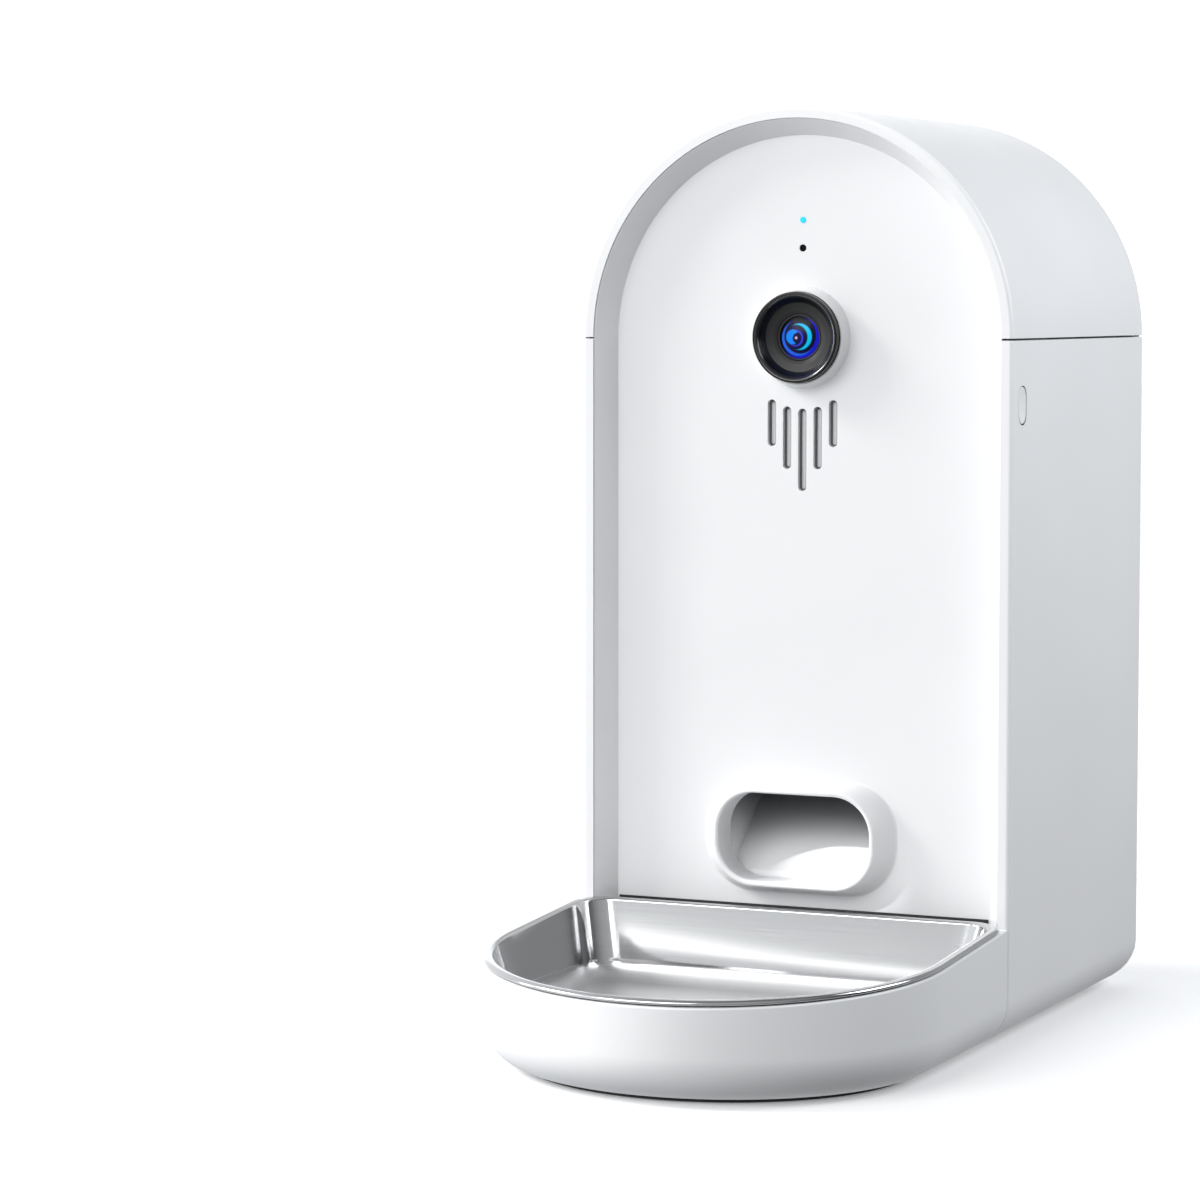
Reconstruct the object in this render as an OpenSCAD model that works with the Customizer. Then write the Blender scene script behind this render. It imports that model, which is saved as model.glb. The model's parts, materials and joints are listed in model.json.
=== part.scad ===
// Automatic pet feeder with a camera: a lidded food hopper and a dosing rotor above a bowl in a tray.
// In every module the front rim of the body is the plane y = 0, +Y runs to the back and the floor is z = 0.

/* [Body] */
// Width across the sides
body_w = 190; // [184:1:200]
// Depth from the front rim to the back
body_d = 176; // [172:1:190]
// Height of the seam under the lid
seam_h = 288; // [280:1:310]
// Thickness of the outer walls
wall = 3; // [2.6:0.1:3.2]
// Width of the front rim band
rim_w = 4.9; // [4.4:0.1:6]
// Gap at the lid's seam
seam_gap = 0.8; // [0.6:0.1:1.2]
// Rounding of the lower edges
edge_r = 18; // [14:1:22]
// Height of the rubber feet
foot_h = 1.5; // [1:0.1:3]

/* [Front panel] */
// Depth of the panel behind the rim
recess_d = 11; // [10:0.5:12]
// Width of the sloped border
bevel_w = 6.2; // [5:0.1:8]
// Thickness of the panel
panel_t = 2.4; // [2:0.1:3]
// Diameter of the camera's ring
camera_d = 37.4; // [34:0.1:42]
// Diameter of the lens glass
lens_d = 17.4; // [14:0.1:18]
// Distance of the status light below the crown
light_drop = 46.3; // [40:0.1:50]
// Distance of the microphone hole below the crown
mic_drop = 57.8; // [55:0.1:61]
// Spacing of the speaker slots
slot_pitch = 6.8; // [5.5:0.1:7.5]
// Width of a speaker slot
slot_w = 3.6; // [2.4:0.1:4]

/* [Outlet] */
// Width of the outlet's mouth
outlet_w = 67.3; // [58:0.1:70]
// Height of the outlet's mouth
outlet_h = 36.8; // [32:0.1:40]
// Height of the outlet's middle
outlet_z = 81; // [78:0.5:86]
// Widening of the collar towards the panel, at each end
outlet_flare = 9; // [5:0.1:11]
// Widening of the collar towards the panel, above and below
outlet_rise = 5.3; // [3:0.1:6]
// Reach of the collar in front of the panel
outlet_reach = 9.5; // [6:0.1:10]

/* [Bowl and tray] */
// Length of the tray in front of the rim
tray_len = 166; // [150:1:180]
// Length of the tray's straight sides
tray_side = 76; // [50:1:90]
// Height of the tray's edge at the body
tray_rear = 50; // [48:0.5:54]
// Height of the tray's edge at the front
tray_front = 39; // [36:0.5:48]
// Height of the bowl's floor
bowl_floor = 19; // [14:0.5:24]
// Width of the bowl's rolled rim
bead_w = 4.2; // [4:0.1:5]
// Rounding of the bowl's rear corners
bowl_corner = 13; // [8:0.5:18]

/* [Dosing] */
// Height of the dosing cup's floor
deck_z = 131; // [128:1:140]
// Inner radius of the dosing cup
cup_r = 53; // [50:0.5:54]
// Number of vanes on the rotor
vane_count = 6; // [4:1:8]
// Teeth of the small gears
small_teeth = 12; // [12:1:14]
// Teeth of the large gears
large_teeth = 36; // [30:6:36]

/* [Lid] */
// Radius of the hinge barrel
hinge_r = 3.5; // [3:0.1:4]
// Radius of the hinge pin
pin_r = 1.25; // [1:0.05:1.5]
// Width of a release button
button_w = 9.2; // [8.6:0.1:12]
// Height of a release button
button_h = 15.4; // [14:0.1:18]
// Rounding of a release button's corners
button_r = 4.2; // [2:0.1:4.2]
// Distance of a button's middle behind the rim
button_y = 12.4; // [12:0.1:13]
// Distance of a button's middle below the seam
button_down = 26.6; // [25:0.1:28]

/* [Hidden] */
$fn = 64;

white = "whitesmoke";
dark = "#26282b";
steel = "#c4c7ca";
board_green = "#2f6b45";

half_w = body_w / 2;
inner_w = half_w - wall;
lip_w = half_w - rim_w;
lip_d = 5;
back_in = body_d - wall;
rim_y = (tray_len - body_d - hinge_r) / 2;
low_seam = seam_h - seam_gap / 2;
high_seam = seam_h + seam_gap / 2;
slack = 0.3;

// The floor of the body is stepped to take the base plate from below.
floor_t = 5;
plate_t = 2.6;
floor_z = foot_h + floor_t;
plate_top = foot_h + plate_t;
ledge_w = 6;
plate_x = half_w - edge_r - 6;
plate_y0 = 18;
plate_y1 = body_d - edge_r - 4;
screw_r = 1.3;
head_r = 2.8;
head_h = 1.4;
base_boss_h = 9;
base_spots = [for (y = [plate_y0 + 12, (plate_y0 + plate_y1) / 2, plate_y1 - 12]) for (s = [-1, 1])
    [s * (plate_x - ledge_w / 2), y]];

foot_r = 7;
foot_sink = 0.8;
foot_spots = [for (y = [plate_y0 + 30, plate_y1 - 34]) for (s = [-1, 1]) [s * (plate_x - 14), y]];
tray_foot_spots = [for (s = [-1, 1]) [s * half_w / 2, -0.62 * tray_len]];

// The panel is a shallow dish whose sloped border starts just inside the rim.
panel_half = lip_w - 0.4;
panel_front = 0.6;
flat_half = panel_half - bevel_w;
panel_back = recess_d + panel_t;
panel_z0 = floor_z + 0.4;
border_t = 2.6;
boss_y = panel_back + 6.6;
boss_x = flat_half - 1;
boss_r = 3.5;
light_r = 1.2;
light_z = seam_h + half_w - light_drop;
mic_hole_r = 1.5;
mic_r = 3;
mic_z = seam_h + half_w - mic_drop;
sensor_d = 4;
boss_spots = [for (z = [0.25, 0.52, 0.79]) for (s = [-1, 1]) [s * boss_x, z * seam_h]];

// The bay behind the panel holds the electronics, and a cover closes it where the lid opens.
bay_y = 38;
cover_t = 2.2;
cover_r = flat_half + border_t - 0.2;
cover_spots = [for (a = [30, 90, 150]) [(cover_r - 12) * cos(a), seam_h + (cover_r - 12) * sin(a)]];
board_y = 30;
board_t = 1.6;
board_x = 44;
board_z = [deck_z - 5, deck_z + 63];
board_edge = 6;
small_board = 18;
board_spots = [for (z = board_z) for (s = [-1, 1]) [s * board_x, z]];

// Heights and depths of the food path.
collar_r = cup_r + 5.5;
well_y = back_in - collar_r - 0.5;
cup_wall = 3;
cup_floor = 4;
cup_top = deck_z + 35;
shield_t = 2;
hopper_z0 = deck_z + 27;
hopper_step = cup_top + shield_t + 0.1;
hopper_t = 2.2;
hopper_y0 = bay_y + cover_t + 2.8;
hopper_y1 = back_in - 1.2;
hopper_x = inner_w - 0.6;
hopper_top = seam_h - 1.2;
hopper_knee = hopper_step + 58;
shaft_r = 4;
journal_r = 2.5;
bush_t = 2.5;
run_gap = 0.05;
fit_gap = 0.02;
rotor_z0 = deck_z + cup_floor + 0.6;
rotor_z1 = deck_z + 32;
hub_r = 14;
vane_t = 2.4;
stir_hub_r = 9;
stir_reach = 38;
stir_pin_x = 32;
drop_angle = 28;
drop_r0 = cup_r - 23;
drop_r1 = cup_r - 1;
post_x = 46;
post_r = 4.5;
post_bore = 10;
post_spots = [for (y = [-28, 28]) for (s = [-1, 1]) [s * post_x, well_y + y]];

// The chute leads from the drop hole down to the outlet's tube.
outlet_r = 16;
tube_t = 2;
tube_y = panel_back + 2.6;
chute_y = tube_y + 0.2;
chute_x = outlet_w / 2 - 0.7;
chute_t = 2.4;
chute_y0 = well_y - drop_r1 - 3;
chute_y1 = well_y - drop_r0 + 4;

// Gear levels hang below the cup's floor.
gear_module = 1;
gear_a = [deck_z - 12.5, deck_z - 4.5];
gear_b = [deck_z - 20.5, deck_z - 14.5];
case_z0 = deck_z - 25;
case_floor = 2.4;
case_t = 1.8;
gear_step = gear_module * (small_teeth + large_teeth) / 2;
idler_at = [0, well_y + gear_step];
pinion_at = [-gear_step, well_y + gear_step];
large_tip = gear_module * (large_teeth / 2 + 1);
small_tip = gear_module * (small_teeth / 2 + 1);
case_x = [pinion_at[0] - small_tip - 5, large_tip + 4];
case_y = [well_y - large_tip - 2.8, idler_at[1] + large_tip + 3];
axle_r = 2;
motor_r = 14;
motor_h = 40;
motor_shaft_r = 1.5;
ear_r = 4.5;
ear_h = 12;
ear_spots = [for (x = [case_x[0] - 3, case_x[1] + 3]) for (y = [-10, 20]) [x, well_y + y]];

// Lid parts: the liner closes the lid's hollow above the hopper.
liner_z = seam_h + 2;
liner_t = 2.4;
liner_y = hopper_y0 + 1;
seal_x = hopper_x - 3;
seal_y = [liner_y + 3, hopper_y1 - 3];
seal_w = 6;
dry_r = 30;
dry_h = 22;
vent_r = 2.2;
vent_rings = [[1, 0], [6, 10], [12, 20]];
knuckle_count = 5;
knuckle_w = 16;
knuckle_gap = 0.4;
hinge_half = knuckle_count * knuckle_w / 2;

// A button's catch stands behind the panel's border, next to the lid's tongue.
button_z = seam_h - button_down;
catch_y = panel_back + 1.1;
catch_d = 5.5;
flange_t = 1.2;
tongue_x = [panel_half - 2.2, panel_half - 0.2];
tongue_drop = 15;
catch_x = tongue_x[0] - 5.5;
spring_seat_x = catch_x - 16;
spring_r = 2.6;
wire_r = 0.4;
spring_turns = 6;

camera_z = seam_h + 0.5;
camera_r = camera_d / 2;
camera_front = 1.5;
camera_seat = camera_front + 5;
skirt_front = camera_front + 3.8;
skirt_flare = 2.5;
camera_board_half = 13;
sensor_half = 6;
barrel_r = lens_d / 2 + 0.8;
barrel_back = 21;
speaker_z = seam_h - 44;
speaker_r = 17.5;
speaker_deep = 15;
screen_t = 0.6;
screen_half = [19, 22];
magnet_r = 10;
cone_cap_r = 4;
cone_deep = 5;
cone_t = 1.6;
slot_rows = [[-2, 25.3, 44.6], [-1, 28.1, 53.9], [0, 28.9, 63], [1, 28.1, 53.9], [2, 25.3, 44.6]];
inlet_x = 55;
inlet_z = 26;
inlet_r = 5;
inlet_bore = 2.8;
inlet_pin_r = 1;
inlet_deep = 10;
inlet_block = 7;
tongue_at = 50;
tongue_w = 20;
tongue_z = [22, 32];

// Points of an arc about a centre.
function arc(c, r, a0, a1, n = 8) =
    [for (i = [0 : n]) let (a = a0 + (a1 - a0) * i / n) [c[0] + r * cos(a), c[1] + r * sin(a)]];

// Outline with two straight sides and half-round or rounded ends, about its own middle.
function rounded(w, h, r, n = 8) = concat(
    arc([w / 2 - r, h / 2 - r], r, 0, 90, n), arc([r - w / 2, h / 2 - r], r, 90, 180, n),
    arc([r - w / 2, r - h / 2], r, 180, 270, n), arc([w / 2 - r, r - h / 2], r, 270, 360, n));

// Outline of the body across X and Z, open at the top.
function body_outline(inset, z0, r, top) = concat(
    [[inset - half_w, top]], arc([inset - half_w + r, z0 + r], r, 180, 270),
    arc([half_w - inset - r, z0 + r], r, 270, 360), [[half_w - inset, top]]);

// Outline of the body across Y and Z with a rounded lower back edge.
function side_outline(y0, y1, z0, r, top) = concat(
    [[y0, top], [y0, z0]], arc([y1 - r, z0 + r], r, 270, 360), [[y1, top]]);

// Height of the tray's edge at a distance from the rim.
function tray_top(y) = tray_rear + (tray_front - tray_rear) * -y / tray_len;

// Tray outline seen from above: straight sides, then half an ellipse.
function tray_outline(inset, rear) = concat(
    [[half_w - inset, rear]],
    [for (i = [0 : 28]) let (a = 180 * i / 28)
        [(half_w - inset) * cos(a), -tray_side - (tray_len - tray_side - inset) * sin(a)]],
    [[inset - half_w, rear]]);

// Bowl outline: the tray's outline with rounded rear corners.
function bowl_outline(inset, rear, r) = concat(
    arc([half_w - inset - r, rear - r], r, 90, 0, 6),
    [for (i = [0 : 28]) let (a = 180 * i / 28)
        [(half_w - inset) * cos(a), -tray_side - (tray_len - tray_side - inset) * sin(a)]],
    arc([inset - half_w + r, rear - r], r, 180, 90, 6));

// A flat ring of points at one height, and one whose height follows the tray's edge.
function level_ring(outline, z) = [for (p = outline) [p[0], p[1], z]];
function edge_ring(outline, up) = [for (p = outline) [p[0], p[1], tray_top(p[1]) + up]];

// One flank of an involute tooth is found from the tooth's half angle at each radius.
pressure = 25;
tooth_backlash = 0.12;
function involute(base, r) = let (a = acos(min(1, base / r))) tan(a) * 180 / PI - a;
function half_tooth(n, r) = let (pitch = gear_module * n / 2, base = pitch * cos(pressure))
    (90 / n - tooth_backlash / 2 / pitch * 180 / PI) + involute(base, pitch) - involute(base, max(r, base));
function tooth(n, steps = 4) = let (pitch = gear_module * n / 2, base = pitch * cos(pressure),
        root = pitch - 1.25 * gear_module, tip = pitch + gear_module, low = max(root, base),
        radii = concat(root < base ? [root] : [], [for (i = [0 : steps]) low + (tip - low) * i / steps]))
    concat([for (r = radii) [r, -half_tooth(n, r)]],
        [for (i = [len(radii) - 1 : -1 : 0]) [radii[i], half_tooth(n, radii[i])]]);
function gear_outline(n) = [for (k = [0 : n - 1]) for (p = tooth(n)) let (a = 360 * k / n + p[1])
    [p[0] * cos(a), p[0] * sin(a)]];

// Extrudes a drawing of X and Z along Y, or a drawing of Y and Z along X.
module along_y(y0, y1) {
    translate([0, y1, 0]) rotate([90, 0, 0]) linear_extrude(y1 - y0) children();
}

module along_x(x0, x1) {
    translate([x0, 0, 0]) rotate([90, 0, 90]) linear_extrude(x1 - x0) children();
}

module rod_y(r, y0, y1, x, z) {
    translate([x, y1, z]) rotate([90, 0, 0]) cylinder(r = r, h = y1 - y0);
}

module rod_x(r, x0, x1, y, z) {
    translate([x0, y, z]) rotate([0, 90, 0]) cylinder(r = r, h = x1 - x0);
}

module rod_z(r, z0, z1, at) {
    translate([at[0], at[1], z0]) cylinder(r = r, h = z1 - z0);
}

module box(low, high) {
    translate(low) cube(high - low);
}

module both_sides() {
    children();
    mirror([1, 0, 0]) children();
}

// Half a turn of a drawing of radius and depth, about the lid's arch.
module arch(points) {
    translate([0, 0, seam_h]) rotate([90, 0, 0]) rotate_extrude(angle = 180)
        polygon([for (p = points) [p[0], -p[1]]]);
}

// A full turn of a drawing of radius and depth about an axis along Y.
module turned(points, z) {
    translate([0, 0, z]) rotate([90, 0, 0]) rotate_extrude() polygon([for (p = points) [p[0], -p[1]]]);
}

// The same drawing as an arch with straight legs down to a height.
module arch_with_legs(points, z0) {
    arch(points);
    both_sides() translate([0, 0, z0]) linear_extrude(seam_h - z0) polygon(points);
}

// A closed skin over rings that have the same number of points, capped or joined end to start.
module loft(rings, closed = false) {
    n = len(rings[0]);
    last = len(rings) - 1;
    points = [for (ring = rings) for (p = ring) p];
    sides = [for (i = [0 : closed ? last : last - 1]) for (j = [0 : n - 1])
        let (a = i * n, b = (i == last ? 0 : i + 1) * n, k = (j + 1) % n)
        each [[a + j, a + k, b + k], [a + j, b + k, b + j]]];
    caps = closed ? [] : [[for (j = [n - 1 : -1 : 0]) j], [for (j = [0 : n - 1]) last * n + j]];
    polyhedron(points, concat(sides, caps), convexity = 6);
}

module screw_up(at, z0, z1) {
    rod_z(head_r, z0, z0 + head_h, at);
    rod_z(screw_r, z0 + head_h - 0.1, z1, at);
}

module screw_front(at, y0, y1) {
    rod_y(head_r, y1 - head_h, y1, at[0], at[1]);
    rod_y(screw_r, y0, y1 - head_h + 0.1, at[0], at[1]);
}

module button_outline(grow) {
    translate([button_y, button_z])
        polygon(rounded(button_w + 2 * grow, button_h + 2 * grow, button_r + grow));
}

module knuckles(first, grow) {
    for (i = [first : 2 : knuckle_count - 1]) {
        x0 = (i - knuckle_count / 2) * knuckle_w + knuckle_gap / 2;
        rod_x(hinge_r + grow, x0 - grow, x0 + knuckle_w - knuckle_gap + grow, body_d, seam_h);
    }
}

module hinge_bore(gap) {
    rod_x(pin_r + gap, -hinge_half - 1, hinge_half + 1, body_d, seam_h);
}

module shell_skin() {
    difference() {
        intersection() {
            along_y(0, body_d) polygon(body_outline(0, foot_h, edge_r, low_seam));
            along_x(-half_w - 1, half_w + 1)
                polygon(side_outline(-1, body_d, foot_h, edge_r, low_seam + 1));
        }
        intersection() {
            along_y(lip_d, back_in) polygon(body_outline(wall, floor_z, edge_r - wall, seam_h + 1));
            along_x(-half_w, half_w)
                polygon(side_outline(0, back_in, floor_z, edge_r - wall, seam_h + 2));
        }
        along_y(-1, lip_d + 0.1) polygon(body_outline(rim_w, floor_z, edge_r - wall, seam_h + 1));
    }
}

module main_shell() color(white) {
    difference() {
        union() {
            difference() {
                union() {
                    shell_skin();
                    for (p = base_spots) rod_z(3.6, floor_z - 1, floor_z + base_boss_h, p);
                }
                knuckles(1, knuckle_gap);
            }
            knuckles(0, 0);
            both_sides() box([boss_x - boss_r, boss_y, 0.22 * seam_h],
                [inner_w + 1, boss_y + cup_wall, 0.82 * seam_h]);
        }
        box([-plate_x - slack, plate_y0 - slack, 0], [plate_x + slack, plate_y1 + slack, plate_top]);
        box([ledge_w - plate_x, plate_y0 + ledge_w, 0],
            [plate_x - ledge_w, plate_y1 - ledge_w, floor_z + 0.1]);
        for (p = base_spots) rod_z(screw_r + fit_gap, 0, floor_z + base_boss_h - 1, p);
        for (p = boss_spots) rod_y(screw_r + 0.2, boss_y - 1, boss_y + cup_wall + 1, p[0], p[1]);
        both_sides() along_x(inner_w - 1, half_w + 1) button_outline(slack);
        rod_y(inlet_r + 0.1, back_in - 1, body_d + 1, inlet_x, inlet_z);
        hinge_bore(fit_gap);
    }
}

module base_plate() color("gainsboro") {
    difference() {
        box([-plate_x, plate_y0, foot_h], [plate_x, plate_y1, plate_top]);
        for (p = concat(base_spots, post_spots)) {
            rod_z(screw_r + 0.2, 0, plate_top + 1, p);
            rod_z(head_r + 0.2, 0, foot_h + head_h + 0.1, p);
        }
        for (p = foot_spots) rod_z(foot_r + 0.1, 0, foot_h + foot_sink, p);
    }
}

module body_feet() color(dark) {
    for (p = foot_spots) rod_z(foot_r, 0, foot_h + foot_sink, p);
}

module tray_feet() color(dark) {
    for (p = tray_foot_spots) rod_z(foot_r, 0, foot_h, p);
}

module lid_shell() color(white) {
    difference() {
        union() {
            difference() {
                arch([[lip_w, 0], [half_w, 0], [half_w, body_d], [0, body_d], [0, back_in],
                    [inner_w, back_in], [inner_w, lip_d], [lip_w, lip_d]]);
                box([-half_w - 1, -1, seam_h - 1], [half_w + 1, body_d + 1, high_seam]);
                knuckles(0, knuckle_gap);
            }
            knuckles(1, 0);
            both_sides() box([tongue_x[0], catch_y, seam_h - tongue_drop],
                [tongue_x[1], catch_y + catch_d, seam_h + 8]);
            both_sides() box([tongue_x[0], catch_y, high_seam],
                [inner_w + 0.6, catch_y + catch_d, seam_h + 8]);
        }
        hinge_bore(run_gap);
    }
}

module lid_liner() color("white") {
    edge = inner_w - slack;
    difference() {
        union() {
            difference() {
                arch([[0, liner_y], [edge, liner_y], [edge, liner_y + liner_t], [0, liner_y + liner_t]]);
                box([-half_w, 0, seam_h - 1], [half_w, body_d, liner_z]);
            }
            box([0.2 - edge, liner_y, liner_z], [edge - 0.2, back_in - slack, liner_z + liner_t]);
        }
        rod_z(dry_r, liner_z - 1, liner_z + liner_t + 1, [0, well_y]);
    }
}

module lid_seal() color("silver") {
    difference() {
        box([-seal_x, seal_y[0], hopper_top + 0.5], [seal_x, seal_y[1], liner_z]);
        box([seal_w - seal_x, seal_y[0] + seal_w, 0], [seal_x - seal_w, seal_y[1] - seal_w, liner_z + 1]);
    }
}

module desiccant_box() color("white") {
    z0 = liner_z + liner_t;
    difference() {
        rod_z(dry_r + 4, z0, z0 + dry_h, [0, well_y]);
        rod_z(dry_r + 1.6, z0 - 1, z0 + dry_h - 2, [0, well_y]);
    }
}

module desiccant_cover() color("gainsboro") {
    difference() {
        rod_z(dry_r - 0.1, liner_z - 1, liner_z + liner_t - 0.2, [0, well_y]);
        for (ring = vent_rings) for (k = [0 : ring[0] - 1]) {
            a = 360 * k / ring[0];
            rod_z(vent_r, liner_z - 2, liner_z + liner_t, [ring[1] * cos(a), well_y + ring[1] * sin(a)]);
        }
    }
}

module hinge_pin() color(steel) {
    rod_x(pin_r, -hinge_half, hinge_half, body_d, seam_h);
}

module outlet_cut(y0, y1, grow, rise) {
    along_y(y0, y1) translate([0, outlet_z])
        polygon(rounded(outlet_w + 2 * grow, outlet_h + 2 * rise, outlet_r + rise));
}

module panel_solid(plate) {
    arch_with_legs([[panel_half, panel_front], [flat_half, recess_d], [flat_half, panel_back],
        [flat_half + border_t, panel_back], [panel_half, panel_front + 3.4]], panel_z0);
    arch([[0, recess_d], [plate, recess_d], [plate, panel_back], [0, panel_back]]);
    box([-plate, recess_d, panel_z0], [plate, panel_back, seam_h]);
    turned([[camera_r + 0.15, skirt_front], [camera_r + 0.8, skirt_front],
        [camera_r + skirt_flare, recess_d + 0.1], [camera_r + 0.15, recess_d + 0.1]], camera_z);
    for (p = boss_spots) rod_y(boss_r, panel_back - 1, boss_y, p[0], p[1]);
    for (p = cover_spots) rod_y(boss_r, panel_back - 1, bay_y, p[0], p[1]);
    for (p = board_spots) rod_y(3, panel_back - 1, board_y, p[0], p[1]);
    both_sides() box([spring_seat_x - 3, panel_back - 1, button_z - 8],
        [spring_seat_x, catch_y + catch_d + 3, button_z + 4]);
}

module front_panel() color(white) {
    plate = flat_half + 1;
    difference() {
        intersection() {
            panel_solid(plate);
            along_y(-1, bay_y + 1)
                polygon(body_outline(rim_w + slack, panel_z0, edge_r - wall, seam_h + half_w));
        }
        rod_y(barrel_r + 3.2, recess_d - 1, panel_back + 1, 0, camera_z);
        rod_y(light_r + 0.1, recess_d - 1, panel_back + 1, 0, light_z);
        rod_y(mic_hole_r, recess_d - 1, panel_back + 1, 0, mic_z);
        for (s = slot_rows) along_y(recess_d - 1, panel_back + 1)
            translate([s[0] * slot_pitch, seam_h - (s[1] + s[2]) / 2])
            polygon(rounded(slot_w, s[2] - s[1], slot_w / 2 - 0.05, 6));
        outlet_cut(recess_d - 1, panel_back + 1, tube_t + slack, tube_t + slack);
        both_sides() box([tongue_at - tongue_w / 2 - 0.5, recess_d - 1, tongue_z[0] - 0.5],
            [tongue_at + tongue_w / 2 + 0.5, panel_back + 1, tongue_z[1] + 0.5]);
        for (p = boss_spots) rod_y(screw_r + fit_gap, panel_back, boss_y + 1, p[0], p[1]);
        for (p = cover_spots) rod_y(screw_r + fit_gap, bay_y - 10, bay_y + 1, p[0], p[1]);
        for (p = board_spots) rod_y(screw_r + fit_gap, board_y - 8, board_y + 1, p[0], p[1]);
    }
}

module bay_cover() color("gainsboro") {
    rim = cover_r - cover_t;
    difference() {
        union() {
            arch_with_legs([[rim, panel_back], [cover_r, panel_back], [cover_r, bay_y + cover_t],
                [rim, bay_y + cover_t]], seam_h - 4);
            arch([[0, bay_y], [rim + 1, bay_y], [rim + 1, bay_y + cover_t], [0, bay_y + cover_t]]);
            box([-rim - 1, bay_y, seam_h - 50], [rim + 1, bay_y + cover_t, seam_h]);
        }
        for (p = cover_spots) rod_y(screw_r + 0.2, bay_y - 1, bay_y + cover_t + 1, p[0], p[1]);
    }
}

// Hopper rings: a rounded rectangle above, which narrows to the round cup below.
ring_n = 48;
function round_ring(r, z) = [for (i = [0 : ring_n - 1]) let (a = 360 * i / ring_n)
    [r * cos(a), well_y + r * sin(a), z]];
function soft_power(v) = sign(v) * pow(abs(v), 0.25);
function square_ring(inset, z) = [for (i = [0 : ring_n - 1]) let (a = 360 * (i + 0.5) / ring_n)
    [(hopper_x - inset) * soft_power(cos(a)),
    (hopper_y0 + hopper_y1) / 2 + ((hopper_y1 - hopper_y0) / 2 - inset) * soft_power(sin(a)), z]];

module hopper() color("lightgray") {
    loft([round_ring(cup_r + 3.3, hopper_z0), round_ring(collar_r, hopper_z0),
        round_ring(collar_r, hopper_step + 2), square_ring(0, hopper_knee), square_ring(0, hopper_top),
        square_ring(hopper_t, hopper_top), square_ring(hopper_t, hopper_knee),
        round_ring(cup_r, hopper_step + 4), round_ring(cup_r, hopper_step),
        round_ring(cup_r + 3.3, hopper_step)], closed = true);
}

module sector(r0, r1, half_angle) {
    polygon(concat(arc([0, 0], r1, -90 - half_angle, -90 + half_angle, 12),
        arc([0, 0], r0, -90 + half_angle, -90 - half_angle, 12)));
}

module dosing_cup() color("lightgray") {
    difference() {
        union() {
            rod_z(cup_r + cup_wall, deck_z, cup_top, [0, well_y]);
            rod_z(collar_r, hopper_z0 - 3, hopper_z0, [0, well_y]);
            for (p = post_spots) rod_z(post_r, plate_top, deck_z + 2, p);
        }
        rod_z(cup_r, deck_z + cup_floor, cup_top + 1, [0, well_y]);
        translate([0, well_y, deck_z - 1]) linear_extrude(cup_floor + 2)
            sector(drop_r0, drop_r1 - 1, drop_angle);
        rod_z(shaft_r + bush_t, deck_z - 1, deck_z + cup_floor + 1, [0, well_y]);
        for (p = post_spots) rod_z(screw_r + fit_gap, 0, plate_top + post_bore, p);
        for (p = ear_spots) rod_z(screw_r + fit_gap, deck_z - 1, deck_z + 3, p);
    }
}

module drop_shield() color("gainsboro") {
    translate([0, well_y, cup_top]) linear_extrude(shield_t) sector(16, cup_r + 2.8, drop_angle + 8);
}

module rotor() color("darkorange") {
    difference() {
        union() {
            rod_z(hub_r, rotor_z0, rotor_z1, [0, well_y]);
            for (k = [0 : vane_count - 1]) translate([0, well_y, 0]) rotate(360 * (k + 0.5) / vane_count)
                box([hub_r - 4, -vane_t / 2, rotor_z0], [cup_r - 1.5, vane_t / 2, rotor_z1]);
        }
        rod_z(shaft_r + fit_gap, rotor_z0 - 1, rotor_z1 + 1, [0, well_y]);
    }
}

module stirrer() color("darkorange") {
    z0 = rotor_z1 + 0.1;
    difference() {
        union() {
            rod_z(stir_hub_r, z0, z0 + 18, [0, well_y]);
            rod_x(2.5, -stir_reach, stir_reach, well_y, z0 + 13);
            for (s = [-1, 1]) rod_z(2, z0 + 11, z0 + 30, [s * stir_pin_x, well_y]);
        }
        rod_z(shaft_r + fit_gap, z0 - 1, z0 + 10, [0, well_y]);
    }
}

module drive_shaft() color(steel) {
    rod_z(shaft_r, case_z0 + case_floor + 0.4, rotor_z1 + 9, [0, well_y]);
    rod_z(journal_r, case_z0, case_z0 + case_floor + 0.5, [0, well_y]);
}

module rotor_bush() color("goldenrod") {
    difference() {
        union() {
            rod_z(shaft_r + bush_t - fit_gap, deck_z - 1.4, deck_z + cup_floor - 0.1, [0, well_y]);
            rod_z(shaft_r + bush_t + 1.5, deck_z - 2.4, deck_z - 0.1, [0, well_y]);
        }
        rod_z(shaft_r + run_gap, deck_z - 3, deck_z + cup_floor + 1, [0, well_y]);
    }
}

module food_chute() color("whitesmoke") {
    low = outlet_z - outlet_h / 2 + 1.5;
    high = outlet_z + outlet_h / 2 - 1.5;
    top = deck_z - 0.2;
    difference() {
        along_x(-chute_x - chute_t, chute_x + chute_t)
            polygon([[chute_y, low - chute_t], [chute_y, high + 2.6], [chute_y0 - 4, top],
                [chute_y1 + chute_t, top], [chute_y1 + chute_t, top - 5.8]]);
        along_x(-chute_x, chute_x)
            polygon([[chute_y - 1, low], [chute_y - 1, high], [chute_y0, top + 1],
                [chute_y1, top + 1], [chute_y1, top - 2.8]]);
    }
}

module outlet_collar() color(white) {
    front = recess_d - outlet_reach;
    lip = 2.6;
    difference() {
        union() {
            hull() {
                outlet_cut(front, front + 0.6, lip, lip);
                outlet_cut(recess_d - 0.6, recess_d, outlet_flare, outlet_rise);
            }
            outlet_cut(recess_d - 0.1, tube_y, tube_t, tube_t);
        }
        outlet_cut(front - 1, tube_y + 1, 0, 0);
    }
}

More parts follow.
